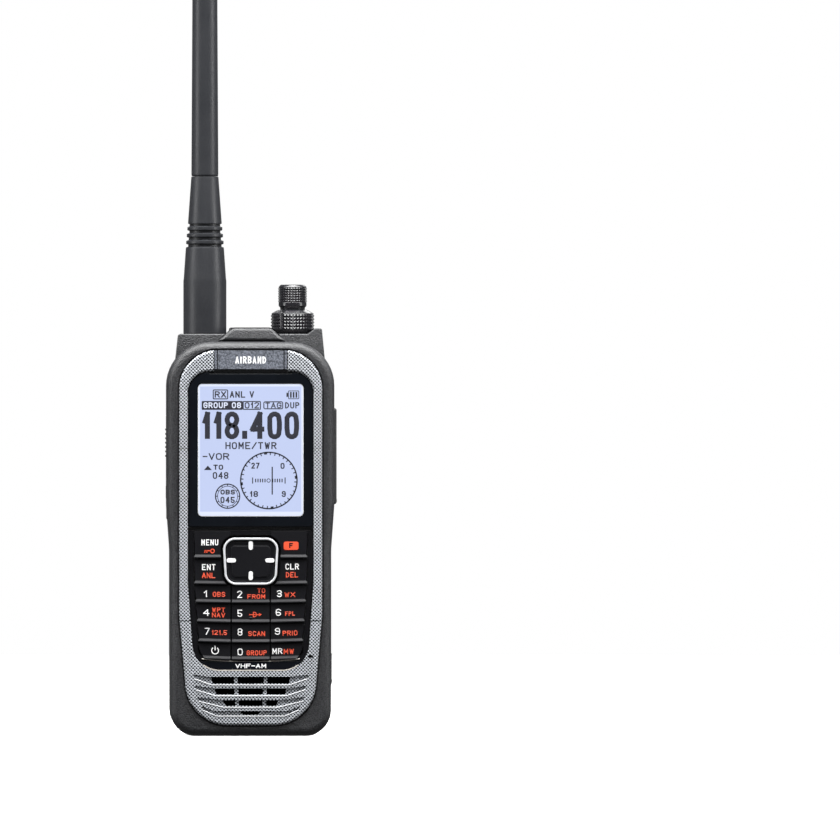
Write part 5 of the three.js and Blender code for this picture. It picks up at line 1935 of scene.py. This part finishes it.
INNER = {
    "rubber": ["case_seal"],
    "cloth": ["speaker_mesh"],
    "board": ["keypad_board", "main_board", "side_switch_board"],
    "alloy": ["chassis", "microphone", "control_body"],
    "inner": ["speaker", "headset_jacks", "rocker_plunger"],
    "steel": [
        "charge_port",
        "antenna_socket",
        "control_nut",
        "volume_shaft",
        "case_screw_left",
        "case_screw_right",
    ],
    "brass": ["terminal_block", "antenna_plug", "dial_shaft"],
    "cells": ["battery_cells"],
}


class RADIO_OT_inner_parts(bpy.types.Operator):
    """Finishes for the pieces that stay as the frame has them"""

    bl_idname = "radio.inner_parts"
    bl_label = "Inner parts"

    def execute(self, context):
        for finish, names in INNER.items():
            for name in names:
                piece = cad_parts[name]
                piece.data.materials.clear()
                piece.data.materials.append(Finishes.get(finish))
        return {"FINISHED"}


# ------------------------------------------------------------------ stage

CAMERA_AWAY = 5.0
CAMERA_TURN = -1.0  # degrees: a little of the left side shows
VIEW_WIDTH = 0.3063  # what the picture takes in across, at the radio
VIEW_MIDDLE = 0.115  # height of the picture's middle
LEFT_OF_MIDDLE = 0.2024  # how far left of the middle the radio stands, as a share of the width


class RADIO_OT_stage(bpy.types.Operator):
    """Pale floor, soft lights and the camera"""

    bl_idname = "radio.stage"
    bl_label = "Stage"

    def execute(self, context):
        scene = context.scene
        scene.view_settings.view_transform = "Standard"
        deselect()
        bpy.ops.mesh.primitive_circle_add(vertices=96, radius=1.7, fill_type="NGON")
        floor = context.object
        floor.name = "floor"
        finish = grained("floor_white", colours().floor, 0.85, 30, 0.01, 0.01)
        shader = finish.node_tree.nodes["Principled BSDF"]
        shader.inputs["Emission Color"].default_value = (*colours().floor, 1)
        shader.inputs["Emission Strength"].default_value = 1.0
        coat(floor, finish)
        floor.visible_glossy = False
        floor.visible_diffuse = False
        self.surround(scene)
        self.lamp("left_box", (-1.0, -0.3, 0.6), (0.3, 1.6), 8.0)
        self.lamp("right_box", (1.0, -0.3, 0.6), (0.3, 1.6), 9.0)
        self.lamp("top_box", (0.0, -0.22, 1.0), (1.6, 0.6), 52)
        self.lamp("back_box", (0.3, 1.5, 1.0), (1.2, 0.6), 9)
        self.lamp("front_box", (0.1, -1.3, 1.5), (0.6, 0.4), 15)
        self.camera(scene)
        return {"FINISHED"}

    def surround(self, scene):
        """Soft light from all round, and a white ground behind everything."""
        world = bpy.data.worlds.new("soft_white")
        world.use_nodes = True
        tree = world.node_tree
        soft = tree.nodes["Background"]
        soft.inputs["Color"].default_value = (1, 1, 1, 1)
        soft.inputs["Strength"].default_value = 0.17
        seen = tree.nodes.new("ShaderNodeBackground")
        seen.inputs["Color"].default_value = (1, 1, 1, 1)
        seen.inputs["Strength"].default_value = 1.0
        path = tree.nodes.new("ShaderNodeLightPath")
        mix = tree.nodes.new("ShaderNodeMixShader")
        tree.links.new(path.outputs["Is Camera Ray"], mix.inputs["Fac"])
        tree.links.new(soft.outputs["Background"], mix.inputs[1])
        tree.links.new(seen.outputs["Background"], mix.inputs[2])
        tree.links.new(mix.outputs["Shader"], tree.nodes["World Output"].inputs["Surface"])
        scene.world = world

    def lamp(self, name, where, size, power):
        data = bpy.data.lights.new(name, "AREA")
        data.shape = "RECTANGLE"
        data.size, data.size_y = size
        data.energy = power
        lamp = bpy.data.objects.new(name, data)
        bpy.context.scene.collection.objects.link(lamp)
        lamp.location = where
        aim = Vector((0, 0, 0.12)) - Vector(where)
        lamp.rotation_euler = aim.to_track_quat("-Z", "Y").to_euler()
        lamp.visible_camera = False

    def camera(self, scene):
        data = bpy.data.cameras.new("camera")
        data.sensor_width = 36
        data.lens = 36 * CAMERA_AWAY / VIEW_WIDTH
        data.shift_x = LEFT_OF_MIDDLE
        data.clip_end = 30
        camera = bpy.data.objects.new("camera", data)
        scene.collection.objects.link(camera)
        turn = math.radians(CAMERA_TURN)
        camera.location = (CAMERA_AWAY * math.sin(turn), -CAMERA_AWAY * math.cos(turn), VIEW_MIDDLE)
        camera.rotation_euler = Euler((math.pi / 2, 0, turn))
        scene.camera = camera


# ------------------------------------------------------------------ add-on

OPERATORS = [
    RADIO_OT_front_case,
    RADIO_OT_rear_case,
    RADIO_OT_top_cover,
    RADIO_OT_front_frame,
    RADIO_OT_head_plate,
    RADIO_OT_window,
    RADIO_OT_screen,
    RADIO_OT_label_strip,
    RADIO_OT_keypad_mat,
    RADIO_OT_keys,
    RADIO_OT_rocker,
    RADIO_OT_side_keys,
    RADIO_OT_covers,
    RADIO_OT_aerial,
    RADIO_OT_knobs,
    RADIO_OT_battery,
    RADIO_OT_inner_parts,
    RADIO_OT_stage,
]


class RADIO_PT_panel(bpy.types.Panel):
    bl_idname = "RADIO_PT_panel"
    bl_label = "Airband Radio"
    bl_space_type = "VIEW_3D"
    bl_region_type = "UI"
    bl_category = "Radio"

    def draw(self, context):
        for group in (context.scene.radio_sizes, context.scene.radio_colours):
            for name in group.__annotations__:
                self.layout.prop(group, name)
        for operator in OPERATORS:
            self.layout.operator(operator.bl_idname)


CLASSES = [RadioSizes, RadioColours, *OPERATORS, RADIO_PT_panel]


def register():
    for item in CLASSES:
        bpy.utils.register_class(item)
    bpy.types.Scene.radio_sizes = bpy.props.PointerProperty(type=RadioSizes)
    bpy.types.Scene.radio_colours = bpy.props.PointerProperty(type=RadioColours)


def unregister():
    del bpy.types.Scene.radio_colours
    del bpy.types.Scene.radio_sizes
    for item in reversed(CLASSES):
        bpy.utils.unregister_class(item)


def main():
    register()
    for operator in OPERATORS:
        group, name = operator.bl_idname.split(".")
        getattr(getattr(bpy.ops, group), name)()


if __name__ == "__main__":
    main()
